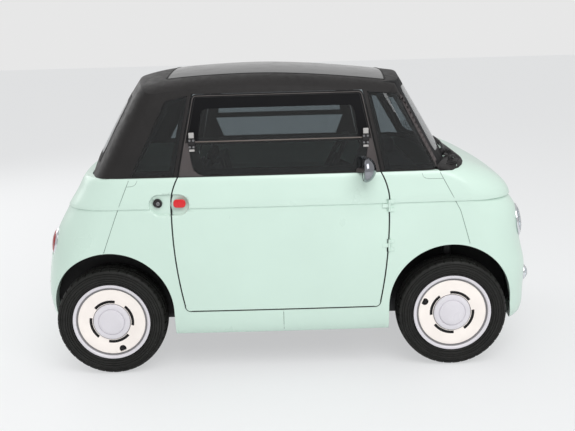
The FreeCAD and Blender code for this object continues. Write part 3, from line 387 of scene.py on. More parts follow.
def prism(name, outline, axis, low, high):
    """A closed bar of one outline between two places along x or y."""
    if axis == "y":
        piece = flat_face(name, outline, lambda across, up: (across, low, up))
    else:
        piece = flat_face(name, outline, lambda across, up: (low, across, up))
    edit(piece)
    extrude(**{axis: high - low})
    leave()
    return faces_outwards(piece)


def cut_away(piece, tool):
    applied(piece, "BOOLEAN", object=tool, operation="DIFFERENCE", solver="EXACT")
    bpy.data.objects.remove(tool)
    return piece


# Materials. Each is a principled shader with its own colour variation, roughness and grain.

def shader(name, colour, roughness, **settings):
    material = bpy.data.materials.new(name)
    material.use_nodes = True
    principled = material.node_tree.nodes["Principled BSDF"]
    principled.inputs["Base Color"].default_value = (*colour, 1)
    principled.inputs["Roughness"].default_value = roughness
    for socket, value in settings.items():
        principled.inputs[socket.replace("_", " ").title().replace("Ior", "IOR")].default_value = value
    return material


def add_node(material, kind, **settings):
    node = material.node_tree.nodes.new(kind)
    for name, value in settings.items():
        setattr(node, name, value)
    return node


def link(material, source, target):
    material.node_tree.links.new(source, target)


def position(material, stretch=(1, 1, 1)):
    """Object coordinates, stretched."""
    place = add_node(material, "ShaderNodeTexCoord")
    mapping = add_node(material, "ShaderNodeMapping")
    mapping.inputs["Scale"].default_value = stretch
    link(material, place.outputs["Object"], mapping.inputs["Vector"])
    return mapping.outputs["Vector"]


def noise(material, scale, detail=4):
    texture = add_node(material, "ShaderNodeTexNoise")
    texture.inputs["Scale"].default_value = scale
    texture.inputs["Detail"].default_value = detail
    link(material, position(material), texture.inputs["Vector"])
    return texture.outputs["Fac"]


def ranged(material, source, low, high):
    """A pattern's middle values spread between two numbers."""
    spread = add_node(material, "ShaderNodeMapRange")
    for name, value in (("From Min", 0.3), ("From Max", 0.7), ("To Min", low), ("To Max", high)):
        spread.inputs[name].default_value = value
    link(material, source, spread.inputs["Value"])
    return spread.outputs["Result"]


def principled_of(material):
    return material.node_tree.nodes["Principled BSDF"]


def blended(material, colour, other, share):
    """Gives a material a colour between two, by the share that a pattern says."""
    mix = add_node(material, "ShaderNodeMix", data_type="RGBA")
    mix.inputs["A"].default_value = (*colour, 1)
    mix.inputs["B"].default_value = (*other, 1)
    link(material, share, mix.inputs["Factor"])
    link(material, mix.outputs["Result"], principled_of(material).inputs["Base Color"])


def mottle(material, colour, factor, scale):
    """Lets the colour drift to a lighter or darker tone of itself."""
    other = [min(part * factor, 1) for part in colour]
    blended(material, colour, other, ranged(material, noise(material, scale), 0, 1))


def vary_roughness(material, low, high, scale):
    link(material, ranged(material, noise(material, scale, 5), low, high),
         principled_of(material).inputs["Roughness"])


def bump(material, source, strength, distance):
    node = add_node(material, "ShaderNodeBump")
    node.inputs["Strength"].default_value = strength
    node.inputs["Distance"].default_value = distance
    link(material, source, node.inputs["Height"])
    link(material, node.outputs["Normal"], principled_of(material).inputs["Normal"])
    return node


def rounded_edges(material, relief, radius):
    """Lets light catch the small radius that every moulded edge has."""
    edge = add_node(material, "ShaderNodeBevel", samples=4)
    edge.inputs["Radius"].default_value = radius * MM
    link(material, edge.outputs["Normal"], relief.inputs["Normal"])

def moulded_skin(name, colour):
    """Through-coloured moulded panels: satin, with a faint orange peel."""
    material = shader(name, colour, 0.3, coat_weight=0.3, coat_roughness=0.12, specular_ior_level=0.5)
    mottle(material, colour, 0.955, 2.2)
    vary_roughness(material, 0.27, 0.38, 5)
    rounded_edges(material, bump(material, noise(material, 260, 2), 0.05, 0.0006), 2.5)
    return material


def grained(name, colour, roughness=0.52, scale=900, strength=0.35):
    """Leather-grained black moulding."""
    material = shader(name, colour, roughness, specular_ior_level=0.3)
    mottle(material, colour, 1.3, 8)
    vary_roughness(material, roughness - 0.07, roughness + 0.1, 30)
    cells = add_node(material, "ShaderNodeTexVoronoi", feature="DISTANCE_TO_EDGE")
    cells.inputs["Scale"].default_value = scale
    link(material, position(material), cells.inputs["Vector"])
    rounded_edges(material, bump(material, cells.outputs["Distance"], strength, 0.0007), 2)
    return material


def rubber(name, colour, roughness):
    material = shader(name, colour, roughness, specular_ior_level=0.35)
    mottle(material, colour, 1.6, 14)
    vary_roughness(material, roughness - 0.1, roughness + 0.12, 60)
    bump(material, noise(material, 1500, 3), 0.18, 0.0004)
    return material


def metal(name, colour, low, high, scale, relief=0.05):
    material = shader(name, colour, (low + high) / 2, metallic=1.0)
    mottle(material, colour, 0.88, scale / 4)
    vary_roughness(material, low, high, scale)
    bump(material, noise(material, scale * 12, 3), relief, 0.0004)
    return material


def painted(name, colour, roughness, peel):
    material = shader(name, colour, roughness, coat_weight=0.25, coat_roughness=0.15)
    mottle(material, colour, 0.92, 6)
    vary_roughness(material, roughness - 0.06, roughness + 0.08, 12)
    bump(material, noise(material, 420, 2), peel, 0.0005)
    return material


def glazing(name, colour, roughness=0.015, shine=0.5):
    material = shader(name, colour, roughness, transmission_weight=1.0, ior=1.45, specular_ior_level=shine)
    vary_roughness(material, roughness, roughness + 0.02, 3)
    mottle(material, colour, 0.94, 3)
    return material


def woven(name, colour, other):
    """Plain weave: two crossed sets of threads."""
    material = shader(name, colour, 0.85, sheen_weight=0.25, sheen_roughness=0.5)
    threads = []
    for direction in ("X", "Y"):
        wave = add_node(material, "ShaderNodeTexWave", wave_type="BANDS", bands_direction=direction)
        wave.inputs["Scale"].default_value = 520
        wave.inputs["Distortion"].default_value = 0.6
        link(material, position(material, (1, 1, 0.6)), wave.inputs["Vector"])
        threads.append(wave.outputs["Fac"])
    weave = add_node(material, "ShaderNodeMath", operation="MAXIMUM")
    for index, source in enumerate(threads):
        link(material, source, weave.inputs[index])
    blended(material, other, colour, weave.outputs[0])
    bump(material, weave.outputs[0], 0.5, 0.0006)
    return material


def printed(name, colour):
    """The dull black ceramic print along the edges of a pane."""
    material = shader(name, colour, 0.55, specular_ior_level=0.1)
    mottle(material, colour, 1.5, 10)
    vary_roughness(material, 0.5, 0.62, 20)
    bump(material, noise(material, 900, 2), 0.05, 0.0003)
    return material


MINT = rgb(206, 229, 217)
BLACK = rgb(27, 25, 25)
mint_skin = moulded_skin("mint_skin", MINT)
black_grain = grained("black_grain", BLACK)
black_plastic = grained("black_plastic", rgb(33, 32, 33), 0.6, 1400, 0.2)
black_gloss = painted("black_gloss", rgb(14, 14, 16), 0.12, 0.02)
screen_print = printed("screen_print", rgb(13, 13, 15))
dark_glass = glazing("dark_glass", rgb(157, 165, 168))
screen_glass = glazing("screen_glass", rgb(157, 165, 168), 0.015, 0.16)
clear_glass = glazing("clear_glass", rgb(240, 244, 246))
red_plastic = painted("red_plastic", rgb(214, 22, 30), 0.25, 0.03)
chrome = metal("chrome", rgb(226, 228, 232), 0.04, 0.1, 20, relief=0.01)
# The mirror cap's chrome is darker than the bright chrome: a painted reflection, standing in for the dark
# surroundings it mirrors.
chrome_painted_reflection = metal("chrome_painted_reflection", rgb(150, 152, 158), 0.05, 0.12, 20, relief=0.01)
bare_steel = metal("bare_steel", rgb(142, 142, 144), 0.3, 0.48, 60)
black_steel = painted("black_steel", rgb(30, 30, 32), 0.5, 0.2)
cast_alloy = metal("cast_alloy", rgb(160, 162, 165), 0.42, 0.6, 80, relief=0.3)
tyre_rubber = rubber("tyre_rubber", rgb(17, 17, 15), 0.6)
seal_rubber = rubber("seal_rubber", rgb(22, 22, 23), 0.66)
wheel_silver = painted("wheel_silver", rgb(222, 219, 225), 0.3, 0.03)
rim_shadow = painted("rim_shadow", rgb(142, 140, 142), 0.4, 0.05)
wheel_cream = painted("wheel_cream", rgb(252, 244, 238), 0.38, 0.04)
seat_plastic = grained("seat_plastic", rgb(52, 52, 55), 0.58, 1100, 0.3)
seat_cloth = woven("seat_cloth", rgb(88, 90, 94), rgb(48, 49, 53))
dash_plastic = grained("dash_plastic", rgb(58, 60, 64), 0.6, 900, 0.3)

seam_shadow = rubber("seam_shadow", rgb(92, 108, 102), 0.8)
sail_grain = grained("sail_grain", rgb(72, 67, 67), 0.66, 420, 0.8)
# The door seal's pale grey is a painted highlight: the light lines along the door's front and rear edges
# above the belt.
seal_painted_highlight = rubber("seal_painted_highlight", rgb(70, 66, 65), 0.5)
# The window bar's grey is a painted highlight: the light line along the top of the bar between the panes.
bar_grey = painted("bar_grey", rgb(96, 86, 80), 0.4, 0.1)
hinge_grey = painted("hinge_grey", rgb(176, 174, 172), 0.4, 0.1)
mirror_silver = metal("mirror_silver", rgb(206, 210, 214), 0.02, 0.04, 8, relief=0.004)
reflector_silver = metal("reflector_silver", rgb(206, 208, 212), 0.1, 0.18, 30, relief=0.02)
lens_glass = glazing("lens_glass", rgb(236, 240, 243), 0.02)
amber_lens = painted("amber_lens", rgb(214, 122, 30), 0.2, 0.02)
red_lens = painted("red_lens", rgb(150, 14, 18), 0.14, 0.02)
plate_white = painted("plate_white", rgb(232, 232, 230), 0.45, 0.05)
seat_piping = rubber("seat_piping", rgb(118, 116, 112), 0.7)
mat_rubber = rubber("mat_rubber", rgb(36, 36, 38), 0.8)

# What the frame's own pieces are made of, and black plastic where nothing is said
FINISHES = (
    (mint_skin, "front_cap rear_cap door_hinges quarter_front_SIDE quarter_rear_SIDE door_SIDE_panel"),
    (black_grain, "roof_shell cowl door_SIDE_frame"), (screen_glass, "windscreen"),
    (dark_glass, "side_windows rear_window door_SIDE_glass"), (black_gloss, "roof_glass"),
    (cast_alloy, "motor_block"),
    (black_steel, "floor_pan frame_rails battery_block front_suspension rear_axle bumper_beam pedals"),
    (dash_plastic, "dashboard"), (chrome, "front_lamps tail_lamps mirror_SIDE"), (bare_steel, "knuckle_SIDE"),
    (tyre_rubber, "tyre_front_SIDE tyre_rear_SIDE"), (wheel_silver, "wheel_front_SIDE wheel_rear_SIDE"),
    (red_plastic, "door_SIDE_handle"), (seat_plastic, "seat_SIDE_shell"), (seat_cloth, "seat_SIDE_cushion"),
)
finish_of = {}
for finish, names in FINISHES:
    for name in names.split():
        for side, word in SIDES:
            finish_of[name.replace("SIDE", word)] = finish
for name, node in nodes.items():
    node.data.materials.clear()
    node.data.materials.append(finish_of.get(name, black_plastic))


# Road wheels
TYRE_HALF = [
    (57.5, 186), (58, 197.6), (63, 199), (68.5, 202), (71.4, 205), (71.6, 207), (68.6, 208), (68.6, 209.4),
    (73.8, 210.4), (75.4, 215), (76.2, 218), (74, 219.4), (74, 220.8), (77, 222), (77.4, 229), (74.8, 230.4),
    (74.8, 231.8), (77.5, 233), (76.8, 243), (74, 244.6), (74.4, 246.6), (76, 248), (74.8, 253), (71, 255),
    (71, 256.6), (73.4, 258), (72.6, 262.5), (71, 267), (67, 270.6), (62, 273.4), (43, 276.2), (42, 269),
    (37, 269.5), (36, 276.9), (14, 278.1), (13, 271), (8, 271.3), (7, 278.4),
]
TREAD_COUNT = 240
TREAD_BLOCK = 6
TREAD_FOOT = 268
TREAD_DEPTH = 5


def radius_of(middle):
    """How far a face's middle lies from a wheel's axis."""
    return math.hypot(middle.x, middle.y) / MM


def angle_of(middle):
    """Where a face's middle lies round a wheel's axis, in degrees."""
    return math.degrees(math.atan2(middle.y, middle.x))


def tyre(name):
    """Sidewalls with fine ribs, four grooves round the tread and cross cuts in its blocks."""
    rings = TYRE_HALF + [(-across, radius) for across, radius in reversed(TYRE_HALF)] + [TYRE_HALF[0]]
    piece = lathe(name, rings, TREAD_COUNT)

    def cross_cut(middle):
        step = int(round(angle_of(middle) % 360 / 360 * TREAD_COUNT - 0.5))
        across = middle.z / MM
        if radius_of(middle) < TREAD_FOOT:
            return False
        if 43.5 < abs(across) < 70:
            return (step + (2 if across > 0 else 0)) % TREAD_BLOCK == 0
        return 14.5 < abs(across) < 35.5 and (step + 3) % TREAD_BLOCK == 0

    edit(piece)
    pick(piece, cross_cut)
    bpy.ops.mesh.extrude_region_shrink_fatten(TRANSFORM_OT_shrink_fatten={"value": -TREAD_DEPTH * MM})
    leave()
    return smooth(piece, 32)


WHEEL_RINGS = [
    (73.2, 0), (73.2, 20), (72.6, 42), (71, 56), (69, 63.4), (66, 65), (63.4, 66), (63.4, 67.4), (66, 68.6),
    (66.4, 74), (66, 86), (64.4, 90.4), (61.5, 92.8), (57.6, 93.6), (57.6, 96), (58.2, 99), (58.8, 113.4),
    (59.4, 116), (60.2, 132), (61.6, 150), (62.4, 164), (62.2, 168.6), (60.6, 170.6), (56.6, 171.6),
    (56, 175.4), (58.4, 177), (64.8, 180.4), (68.6, 184), (70.4, 188.6), (70.6, 192.6), (69.4, 195.6),
    (65, 196.6), (60.4, 194), (58.6, 189), (50, 184), (24, 181.5), (14, 168), (-28, 168), (-40, 181.5),
    (-60, 184), (-62, 194), (-65, 196.6), (-68, 195.4), (-68.6, 191), (-66, 184.6), (-62, 180), (-42, 177),
    (-30, 164), (12, 163), (36, 160), (46, 152), (48, 140), (48, 100), (41, 64), (34, 60), (-14, 58),
    (-14, 15.4), (44.9, 15.4), (44.9, 0),
]
WHEEL_COUNT = 144
SLOT_HALF_ANGLE = 30
SLOT_DEPTH = 8
VALVE_RING = 152
VALVE_HOLE = 18


def wheel(name):
    """A pressed wheel: silver rim and cap, and a cream disc with four curved slots and a valve opening."""
    piece = lathe(name, WHEEL_RINGS, WHEEL_COUNT)

    def slot_face(middle):
        angle = (angle_of(middle) + 45) % 90 - 45
        return 99 < radius_of(middle) < 113.4 and middle.z > 50 * MM and abs(angle) < SLOT_HALF_ANGLE

    edit(piece)
    pick(piece, slot_face)
    extrude(z=-SLOT_DEPTH)
    leave()
    bpy.ops.mesh.primitive_cylinder_add(vertices=40, radius=VALVE_HOLE * MM, depth=20 * MM,
                                        location=(VALVE_RING * MM, 0, 62 * MM))
    cutter = started("valve_cutter")
    edit(cutter)
    bpy.ops.mesh.bisect(plane_co=((VALVE_RING + 12) * MM, 0, 0), plane_no=(1, 0, 0), use_fill=True,
                        clear_outer=True)
    leave()
    smooth(cut_away(piece, cutter), 30)
    piece.data.materials.clear()
    piece.data.materials.append(wheel_silver)
    # Each finish lies between two radii and between two heights over the wheel's middle. The black band is
    # painted shade in the floors and walls of the shallow slots, so that they look open.
    for finish, inner, outer, low, high in (
        (wheel_cream, 95, 170.8, 57.5, 90), (black_plastic, 94, 170.8, 49, 57.8),
        (rim_shadow, 170.8, 181, 50, 90), (black_steel, -1, 160, -90, 48.5),
    ):
        paint(piece, finish, lambda middle: inner < radius_of(middle) < outer and low < middle.z / MM < high)
    return piece


def valve(name):
    rings = [(50, 5.2), (56, 5.2), (58, 4), (66, 3.8), (67, 4.6), (71, 4.6), (72, 3.6), (72, 0)]
    return smooth(placed(lathe(name, rings, 24), (VALVE_RING, 0, 0)))


WHEEL_MODELS = (
    ("wheel", wheel("wheel_model"), None, "wheel_cream"),
    ("tyre", tyre("tyre_model"), tyre_rubber, "tyre"),
    ("valve", valve("valve_model"), black_plastic, "black_plastic"),
)
# The turn of each wheel, in degrees, puts its first slot and the valve where they stand at rest
WHEEL_TURNS = {"front_left": 40, "front_right": 156, "rear_left": -25, "rear_right": -72}
for corner, turn in WHEEL_TURNS.items():
    for word, model, material, slot in WHEEL_MODELS:
        piece = placed(copied(model, "road_%s_%s" % (word, corner)), turn=(0, 0, turn))
        placed(piece, pivot_of("spin_" + corner), (-90 if "left" in corner else 90, 0, 0))
        dress(piece, material, "road_wheel_" + corner)
        if word != "valve":
            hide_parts("%s_%s" % (word, corner))
for word, model, material, slot in WHEEL_MODELS:
    bpy.data.objects.remove(model)


# Body mouldings: the long oval recess for handle and lock, then seams and panel lines
LOWER_SKIN = ("front_cap", "rear_cap", "quarter_front_right", "quarter_rear_right", "door_right_panel")
UPPER_SKIN = ("roof_shell", "side_windows")
DOOR_SKIN = ("door_right_frame", "door_right_glass")
RECESS_REAR = -604
RECESS_RUN = 90
RECESS_RADIUS = 48
RECESS_LEVEL = 882
RECESS_FLOOR = -677


def recess_tool(name):
    """The recess as a closed form: a flat floor with round ends and sides that lean outwards."""
    bpy.ops.mesh.primitive_circle_add(vertices=64, radius=RECESS_RADIUS * MM, fill_type="NGON")
    piece = placed(started(name), turn=(90, 0, 0))
    edit(piece)
    pick(piece, lambda place: place.x > 0.1 * MM, "VERT")
    move(x=RECESS_RUN)
    bpy.ops.mesh.select_all(action="SELECT")
    for depth, wider in ((3, 1.05), (10, 1.04), (20, 1.06)):
        extrude(y=-depth)
        grow(1 + (wider - 1) * 0.55, 1, wider, (RECESS_RUN / 2, 0, 0))
    leave()
    return faces_outwards(placed(piece, (RECESS_REAR, RECESS_FLOOR, RECESS_LEVEL)))


def copy_of_node(node, name):
    """A loose copy of a piece of the frame, welded, to be worked on."""
    piece = bpy.data.objects.new(name, nodes[node].data.copy())
    bpy.context.scene.collection.objects.link(piece)
    edit(piece)
    bpy.ops.mesh.remove_doubles(threshold=0.01 * MM)
    leave()
    return piece


def keep_shading(piece, node):
    """Gives a cut copy the shading of the piece that it was cut from, corner by corner."""
    source = nodes[node].data
    corners = [[] for vert in source.vertices]
    for face in source.polygons:
        for loop in face.loop_indices:
            corners[source.loops[loop].vertex_index].append((face.normal, source.corner_normals[loop].vector))
    places = KDTree(len(source.vertices))
    for index, vert in enumerate(source.vertices):
        places.insert(vert.co, index)
    places.balance()
    mesh = piece.data
    around = [[pair for place in places.find_range(vert.co, 0.03 * MM) for pair in corners[place[1]]]
              for vert in mesh.vertices]
    normals = [corner.vector.copy() for corner in mesh.corner_normals]
    for face in mesh.polygons:
        for loop in face.loop_indices:
            pairs = around[mesh.loops[loop].vertex_index]
            best = max(pairs, key=lambda pair: pair[0].dot(face.normal), default=None)
            if best and best[0].dot(face.normal) > 0.97:
                normals[loop] = best[1].copy()
    mesh.normals_split_custom_set(normals)


def recessed(node, tool, body):
    """The same moulding with the recess cut into it."""
    piece = copy_of_node(node, node + "_skin")
    applied(piece, "BOOLEAN", object=tool, operation="DIFFERENCE", solver="EXACT")
    smooth(piece, 30)
    keep_shading(piece, node)
    dress(piece, mint_skin, body)
    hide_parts(node)


tool_right = recess_tool("recess_right")
tool_left = turned_round(tool_right, "recess_left")
for node, tool, body in (
    ("quarter_rear_right", tool_right, "root"), ("door_right_panel", tool_right, "door_right"),
    ("quarter_front_left", tool_left, "root"), ("door_left_panel", tool_left, "door_left"),
):
    recessed(node, tool, body)
for tool in (tool_right, tool_left):
    bpy.data.objects.remove(tool)

SEAM_ROUTES = {
    "front_seam": [(766, 1003), (767, 1000), (866, 815), (916, 646)],
    "rear_seam": [(-751, 1003), (-822, 835), (-896, 647)],
    "sill_seam": [(-15, 222), (-15, 318)],
    "front_panel_line": [(677, 1003), (679, 990), (690, 979), (706, 975), (778, 974)],
    "rear_panel_line": [(-709, 1003), (-713, 989), (-726, 979), (-742, 975), (-760, 975)],
}
for name, route in SEAM_ROUTES.items():
    thick = 1.1 if "line" in name else 1.7
    line = rod(name, traced(route, LOWER_SKIN, -0.5 * thick), thick, sides=2)
    on_both_sides(line, seam_shadow)


# Doors
BELT_LEVEL = 1012
PANE_STEP = 40


def door_edge(level, inset):
    """Half the door's width over its middle, at a height above the belt."""
    return 492 - 84 * (level - BELT_LEVEL) / 395 - inset


def about_door(points):
    """Points of the side view that are given from the middle of the door."""
    return [(DOOR_MIDDLE + along, level) for along, level in points]


def bowed(start, middle, end):
    """Points on a curve through three points of the side view, without the last."""
    parts = 6
    start, middle, end = Vector(start), Vector(middle), Vector(end)
    control = 2 * middle - (start + end) / 2
    return [tuple(start.lerp(control, step / parts).lerp(control.lerp(end, step / parts), step / parts))
            for step in range(parts)]


def shut_seal():
    """The black rubber in the depth of the door's shut line, all the way round."""
    half = [tuple(point) for point in spread([(0, 1403), (410, 1403), (495, 1014)], PANE_STEP)]
    half += bowed((495, 1010), (524, 940), (532, 820)) + bowed((532, 820), (518, 545), (490, 362))
    half += bowed((490, 362), (481, 341), (460, 332)) + [(460, 332), (230, 332), (0, 332)]
    places = []
    for along, level in half + [(-along, level) for along, level in reversed(half[1:-1])]:
        names = UPPER_SKIN + DOOR_SKIN if level > BELT_LEVEL else LOWER_SKIN
        place = beside(DOOR_MIDDLE + along, level, names, -4.5)
        if along < 0 and abs(level - RECESS_LEVEL) < RECESS_RADIUS + 6:
            place.y = RECESS_FLOOR + 6
        places.append(place)
    return rod("shut_seal", places, 3.3, closed=True)


on_doors(shut_seal(), seal_rubber, ("root", "root"))


def sail_panel(name, sign):
    """The grained three-cornered panel outside the lower pane's round corner."""
    foot, head = 1015, 1176
    half = [
        (434, head), (door_edge(head, 3), head), (door_edge(foot, 3), foot), (367, foot), (398, 1028),
        (414, 1047), (424, 1076), (430, 1110), (433, 1140),
    ]
    return panel_on(name, about_door([(sign * along, level) for along, level in half]), DOOR_SKIN, 0.9, 2.5)


on_doors(sail_panel("sail_front", 1), sail_grain)
on_doors(sail_panel("sail_rear", -1), sail_grain)

SHUT_HALF = [(door_edge(level, 3), level) for level in (1016, 1100, 1200, 1300, 1398)]
DOOR_LINES = (
    # The window bar's grey is a painted highlight along the top of the bar.
    ("window_bar", bar_grey, 1, 3.2, [(-430, 1181), (430, 1181)]),
    # The door seal's pale grey is a painted highlight along the door's edges.
    ("door_seal", seal_painted_highlight, 0.3, 2.4, SHUT_HALF + [(-along, level) for along, level in reversed(SHUT_HALF)]),
    ("lower_pane_seal", seal_rubber, 0.2, 2.2, [
        (-432, 1174), (-430, 1120), (-418, 1052), (-398, 1030), (-370, 1020), (370, 1020), (398, 1030),
        (418, 1052), (430, 1120), (432, 1174)]),
    ("flap_seal", seal_rubber, 0.2, 1.8, [
        (-439, 1187), (-440, 1200), (-399, 1388), (-392, 1391), (392, 1391), (399, 1388), (440, 1200),
        (439, 1187)]),
)
for name, finish, proud, radius, route in DOOR_LINES:
    line = rod(name, traced(about_door(route), DOOR_SKIN, proud, PANE_STEP), radius)
    on_doors(line, finish)


def flap_border():
    """The black print round the flap's clear part."""
    outline = rounded_corners([(-446, 1187), (-406, 1397), (406, 1397), (446, 1187)], 10, 3)
    clear = rounded_corners([(-392, 1176), (-370, 1338), (370, 1338), (392, 1176)], 34)
    piece = panel_on("flap_border", about_door(outline), DOOR_SKIN, 0.4, 0.9, PANE_STEP)
    return cut_away(piece, prism("clear_part", about_door(clear), "y", -800, -400))


on_doors(flap_border(), screen_print)


COWL_NAMES = ("front_cap", "cowl", "quarter_front_right", "quarter_front_left")
COWL_FRONT = 912


def screen_foot(y):
    """How far forward the bonnet starts under the screen, over the car's width."""
    return 874 - 0.00026 * y ** 2


def on_bonnet(x, y, proud):
    """A point on the bonnet, moved forward to its edge where it lies behind it, and level over a joint."""
    for forward in range(0, 41, 2):
        tops = []
        for along, across in ((0, 0), (4, 0), (-4, 0), (0, 4), (0, -4)):
            try:
                tops.append(above(x + forward + along, y + across, COWL_NAMES).z)
            except ValueError:
                tops.append(0)
        if tops[0]:
            top = tops[0] if tops[0] > max(tops) - 7 else max(tops)
            return Vector((x + forward, y, top + proud))
    raise ValueError("no bonnet beyond %s, %s" % (x, y))


def cowl_cover():
    """The black moulding between screen and bonnet, with a round scoop at each side."""
    half = [(screen_foot(y), -y) for y in (0, 120, 240, 352, 430, 520, 600)]
    half += [(768, -641), (800, -647), (838, -642), (866, -622), (890, -580), (904, -530), (COWL_FRONT, -450)]
    outline = half + [(x, -y) for x, y in reversed(half[1:])]
    piece = laid_panel("cowl_cover", outline, lambda x, y: on_bonnet(x, y, 4), (0, 0, 1), 5.5, 14)
    return smooth(piece, 40)


def cowl_slats():
    """Low ribs across the scoops."""
    slats = []
    for y in range(250, 581, 30):
        rear, front = screen_foot(y) + 26, COWL_FRONT - 14 - max(0, y - 490) * 0.35
        slats.append(rod("slat", [on_bonnet(x, -y, 4.6) for x in (rear, (rear + front) / 2, front)], 3))
    return joined("cowl_slats", *slats)


dress(cowl_cover(), black_grain)
on_both_sides(cowl_slats(), black_plastic)


def window_hinge(name, x):
    """The flap's hinge: a black body with a grey cap and four bright screws."""
    face = beside(x, 1188, DOOR_SKIN).y
    body = rounded_box(name, (x - 15, face - 9, 1134), (x + 15, face + 2, 1228), 5)
    waist = rounded_box("waist", (x - 17, face - 12, 1166), (x + 17, face + 2, 1198), 4)
    on_doors(joined(name, body, waist), black_plastic)
    cap = rounded_box(name + "_cap", (x - 13, face - 13, 1200), (x + 13, face - 7, 1227), 3)
    foot = rounded_box("foot", (x - 13, face - 12, 1135), (x + 13, face - 7, 1146), 3)
    on_doors(joined(name + "_cap", cap, foot), hinge_grey)
    screws = []
    for across in (-9, 9):
        for level in (1157, 1189):
            screw = lathe("screw", [(0, 5.6), (2.4, 5.4), (3.2, 4.6), (3.2, 2.6), (1.4, 2.2), (1.4, 0)], 20)
            screws.append(placed(screw, (x + across, face - 11, level), (90, 0, 0)))
    on_doors(smooth(joined(name + "_screws", *screws)), bare_steel)


window_hinge("flap_hinge_front", DOOR_MIDDLE + 424)
window_hinge("flap_hinge_rear", DOOR_MIDDLE - 420)


def lock_face():
    """A round black lock with a raised rim, a bright barrel and a key slot."""
    forms = []
    for name, count, rings in (
        ("lock_face", 48, [(0, 20.6), (12, 20.6), (14, 19.6), (14.4, 18), (13, 16.2), (12.2, 10.4),
                           (12.2, 0)]),
        ("lock_barrel", 32, [(10, 9.6), (13, 9.6), (14, 8.6), (14, 0)]),
    ):
        forms.append(smooth(placed(lathe(name, rings, count), turn=(90, 0, 0)), 40))
    cut_away(forms[1], rounded_box("slot", (-5, -15, -1.2), (5, -12.6, 1.2), 0.4, 1))
    return [placed(form, (DOOR_MIDDLE - 595, RECESS_FLOOR, 889)) for form in forms]


for piece, finish in zip(lock_face(), (black_gloss, bare_steel)):
    on_doors(piece, finish, ("root", "root"))


def door_lever():
    """The rounded lever that opens the door, on its stem."""
    outline = rounded_corners([(-30, -20.5), (-30, 20.5), (30, 20.5), (30, -20.5)], 19, 8)
    outline = [(along - 490, 888.5 + up) for along, up in outline]
    lever = prism("door_lever", about_door(outline), "y", -695.5, -685)
    applied(lever, "BEVEL", width=3.2 * MM, segments=4, angle_limit=math.radians(60))
    stem = rounded_box("lever_stem", (DOOR_MIDDLE - 512, -688, 878), (DOOR_MIDDLE - 468, -675, 899), 2)
    return smooth(joined("door_lever", lever, stem), 40)


for lever, side in zip(on_doors(door_lever(), red_plastic), ("right", "left")):
    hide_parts("door_%s_handle" % side)


def door_mirror():
    """An egg-shaped chromed cap open to the rear, its gasket and glass, and the foot on the door."""
    forms = {
        "mirror_cap": [(61.5, 0), (60, 13), (55, 29), (47, 43.5), (36, 55.5), (24, 62.6), (14, 65), (6, 63.8),
                       (1, 60.4), (-1, 57.4), (3, 54.4), (8, 53), (8, 0)],
        "mirror_gasket": [(-0.6, 57.4), (-1.6, 56), (-0.8, 53.6), (2, 53), (2, 57.4), (-0.6, 57.4)],
        "mirror_glass": [(1.6, 0), (1, 25), (0, 53.4), (6, 53.4), (6, 0)],
    }
    pieces = []
    for name, rings in forms.items():
        piece = placed(lathe(name, rings, 64), turn=(0, 90, 0))
        pieces.append(smooth(placed(piece, (384, -752, 1041), scale=(1, 1.13, 0.953)), 40))
    foot = rounded_box("mirror_foot", (356, -722, 1013), (436, -666, 1036), 8)
    edit(foot)
    pick(foot, lambda place: place.y < -700 * MM, "VERT")
    grow(0.45, 1, 0.7, (414, 0, 1034))
    leave()
    return pieces + [smooth(foot)]


# The mirror cap's darkened chrome is a painted reflection of dark surroundings.
MIRROR_FINISHES = (
    (chrome_painted_reflection, "chrome"), (black_plastic, "black_plastic"), (mirror_silver, "chrome"),
    (sail_grain, "black_plastic"),
)
for form, (finish, slot) in zip(door_mirror(), MIRROR_FINISHES):
    pair = on_both_sides(form, finish, ("door_right", "door_left"))
    if form.name == "mirror_cap":
        for cap, side in zip(pair, ("right", "left")):
            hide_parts("mirror_%s" % side)


# Upper body: the pillar's grained strip, the panes' seals and the roof's joints
PILLAR_OUTLINE = [(575, 1376), (592, 1376), (778, 1020), (760, 1020)]
on_both_sides(panel_on("pillar_strip", PILLAR_OUTLINE, UPPER_SKIN, 2.4, 3.6, 12), sail_grain)
QUARTER_PANES = {
    "front_pane_seal": [(498, 1020), (748, 1020), (571, 1383), (422, 1397), (498, 1020)],
    "rear_pane_seal": [(-733, 1020), (-532, 1020), (-452, 1397), (-556, 1377), (-733, 1020)],
}
for name, route in QUARTER_PANES.items():
    on_both_sides(rod(name, traced(route, UPPER_SKIN, 0, 30), 2.2), seal_rubber)


def screen_border(name, node, low, high, side_margin, foot_margin, head_margin):
    """The black print round a screen, laid over its edges."""
    reach = [(vert.co.z / MM, abs(vert.co.y / MM)) for vert in nodes[node].data.vertices]
    foot = min(level for level, half in reach)
    head = max(level for level, half in reach)
    foot_half = max(half for level, half in reach if level < foot + 30) - side_margin
    head_half = max(half for level, half in reach if level > head - 30) - side_margin
    clear = rounded_corners([(-foot_half, foot + foot_margin), (-head_half, head - head_margin),
                             (head_half, head - head_margin), (foot_half, foot + foot_margin)], 45)
    piece = cut_away(copy_of_node(node, name), prism("clear_part", clear, "x", low, high))
    applied(piece, "DISPLACE", strength=0.6 * MM, mid_level=0)
    dress(smooth(piece, 40), screen_print)


screen_border("windscreen_border", "windscreen", 300, 1000, 84, 50, 40)
screen_border("rear_window_border", "rear_window", -1100, -600, 40, 36, 36)

ROOF_NAMES = ("roof_shell", "roof_glass")
for index, station in enumerate((-566, 521)):
    bow = 0.00009 if station > 0 else 0
    route = [above(station + bow * (470 ** 2 - y * y), y, ROOF_NAMES, -0.6) for y in range(-460, 461, 46)]
    dress(rod("roof_joint_%d" % index, route, 3), seal_rubber)
for side, word in SIDES:
    route = [above(x, side * 472, ROOF_NAMES, -0.6) for x in range(-560, 521, 60)]
    dress(rod("roof_joint_" + word, route, 3), seal_rubber)


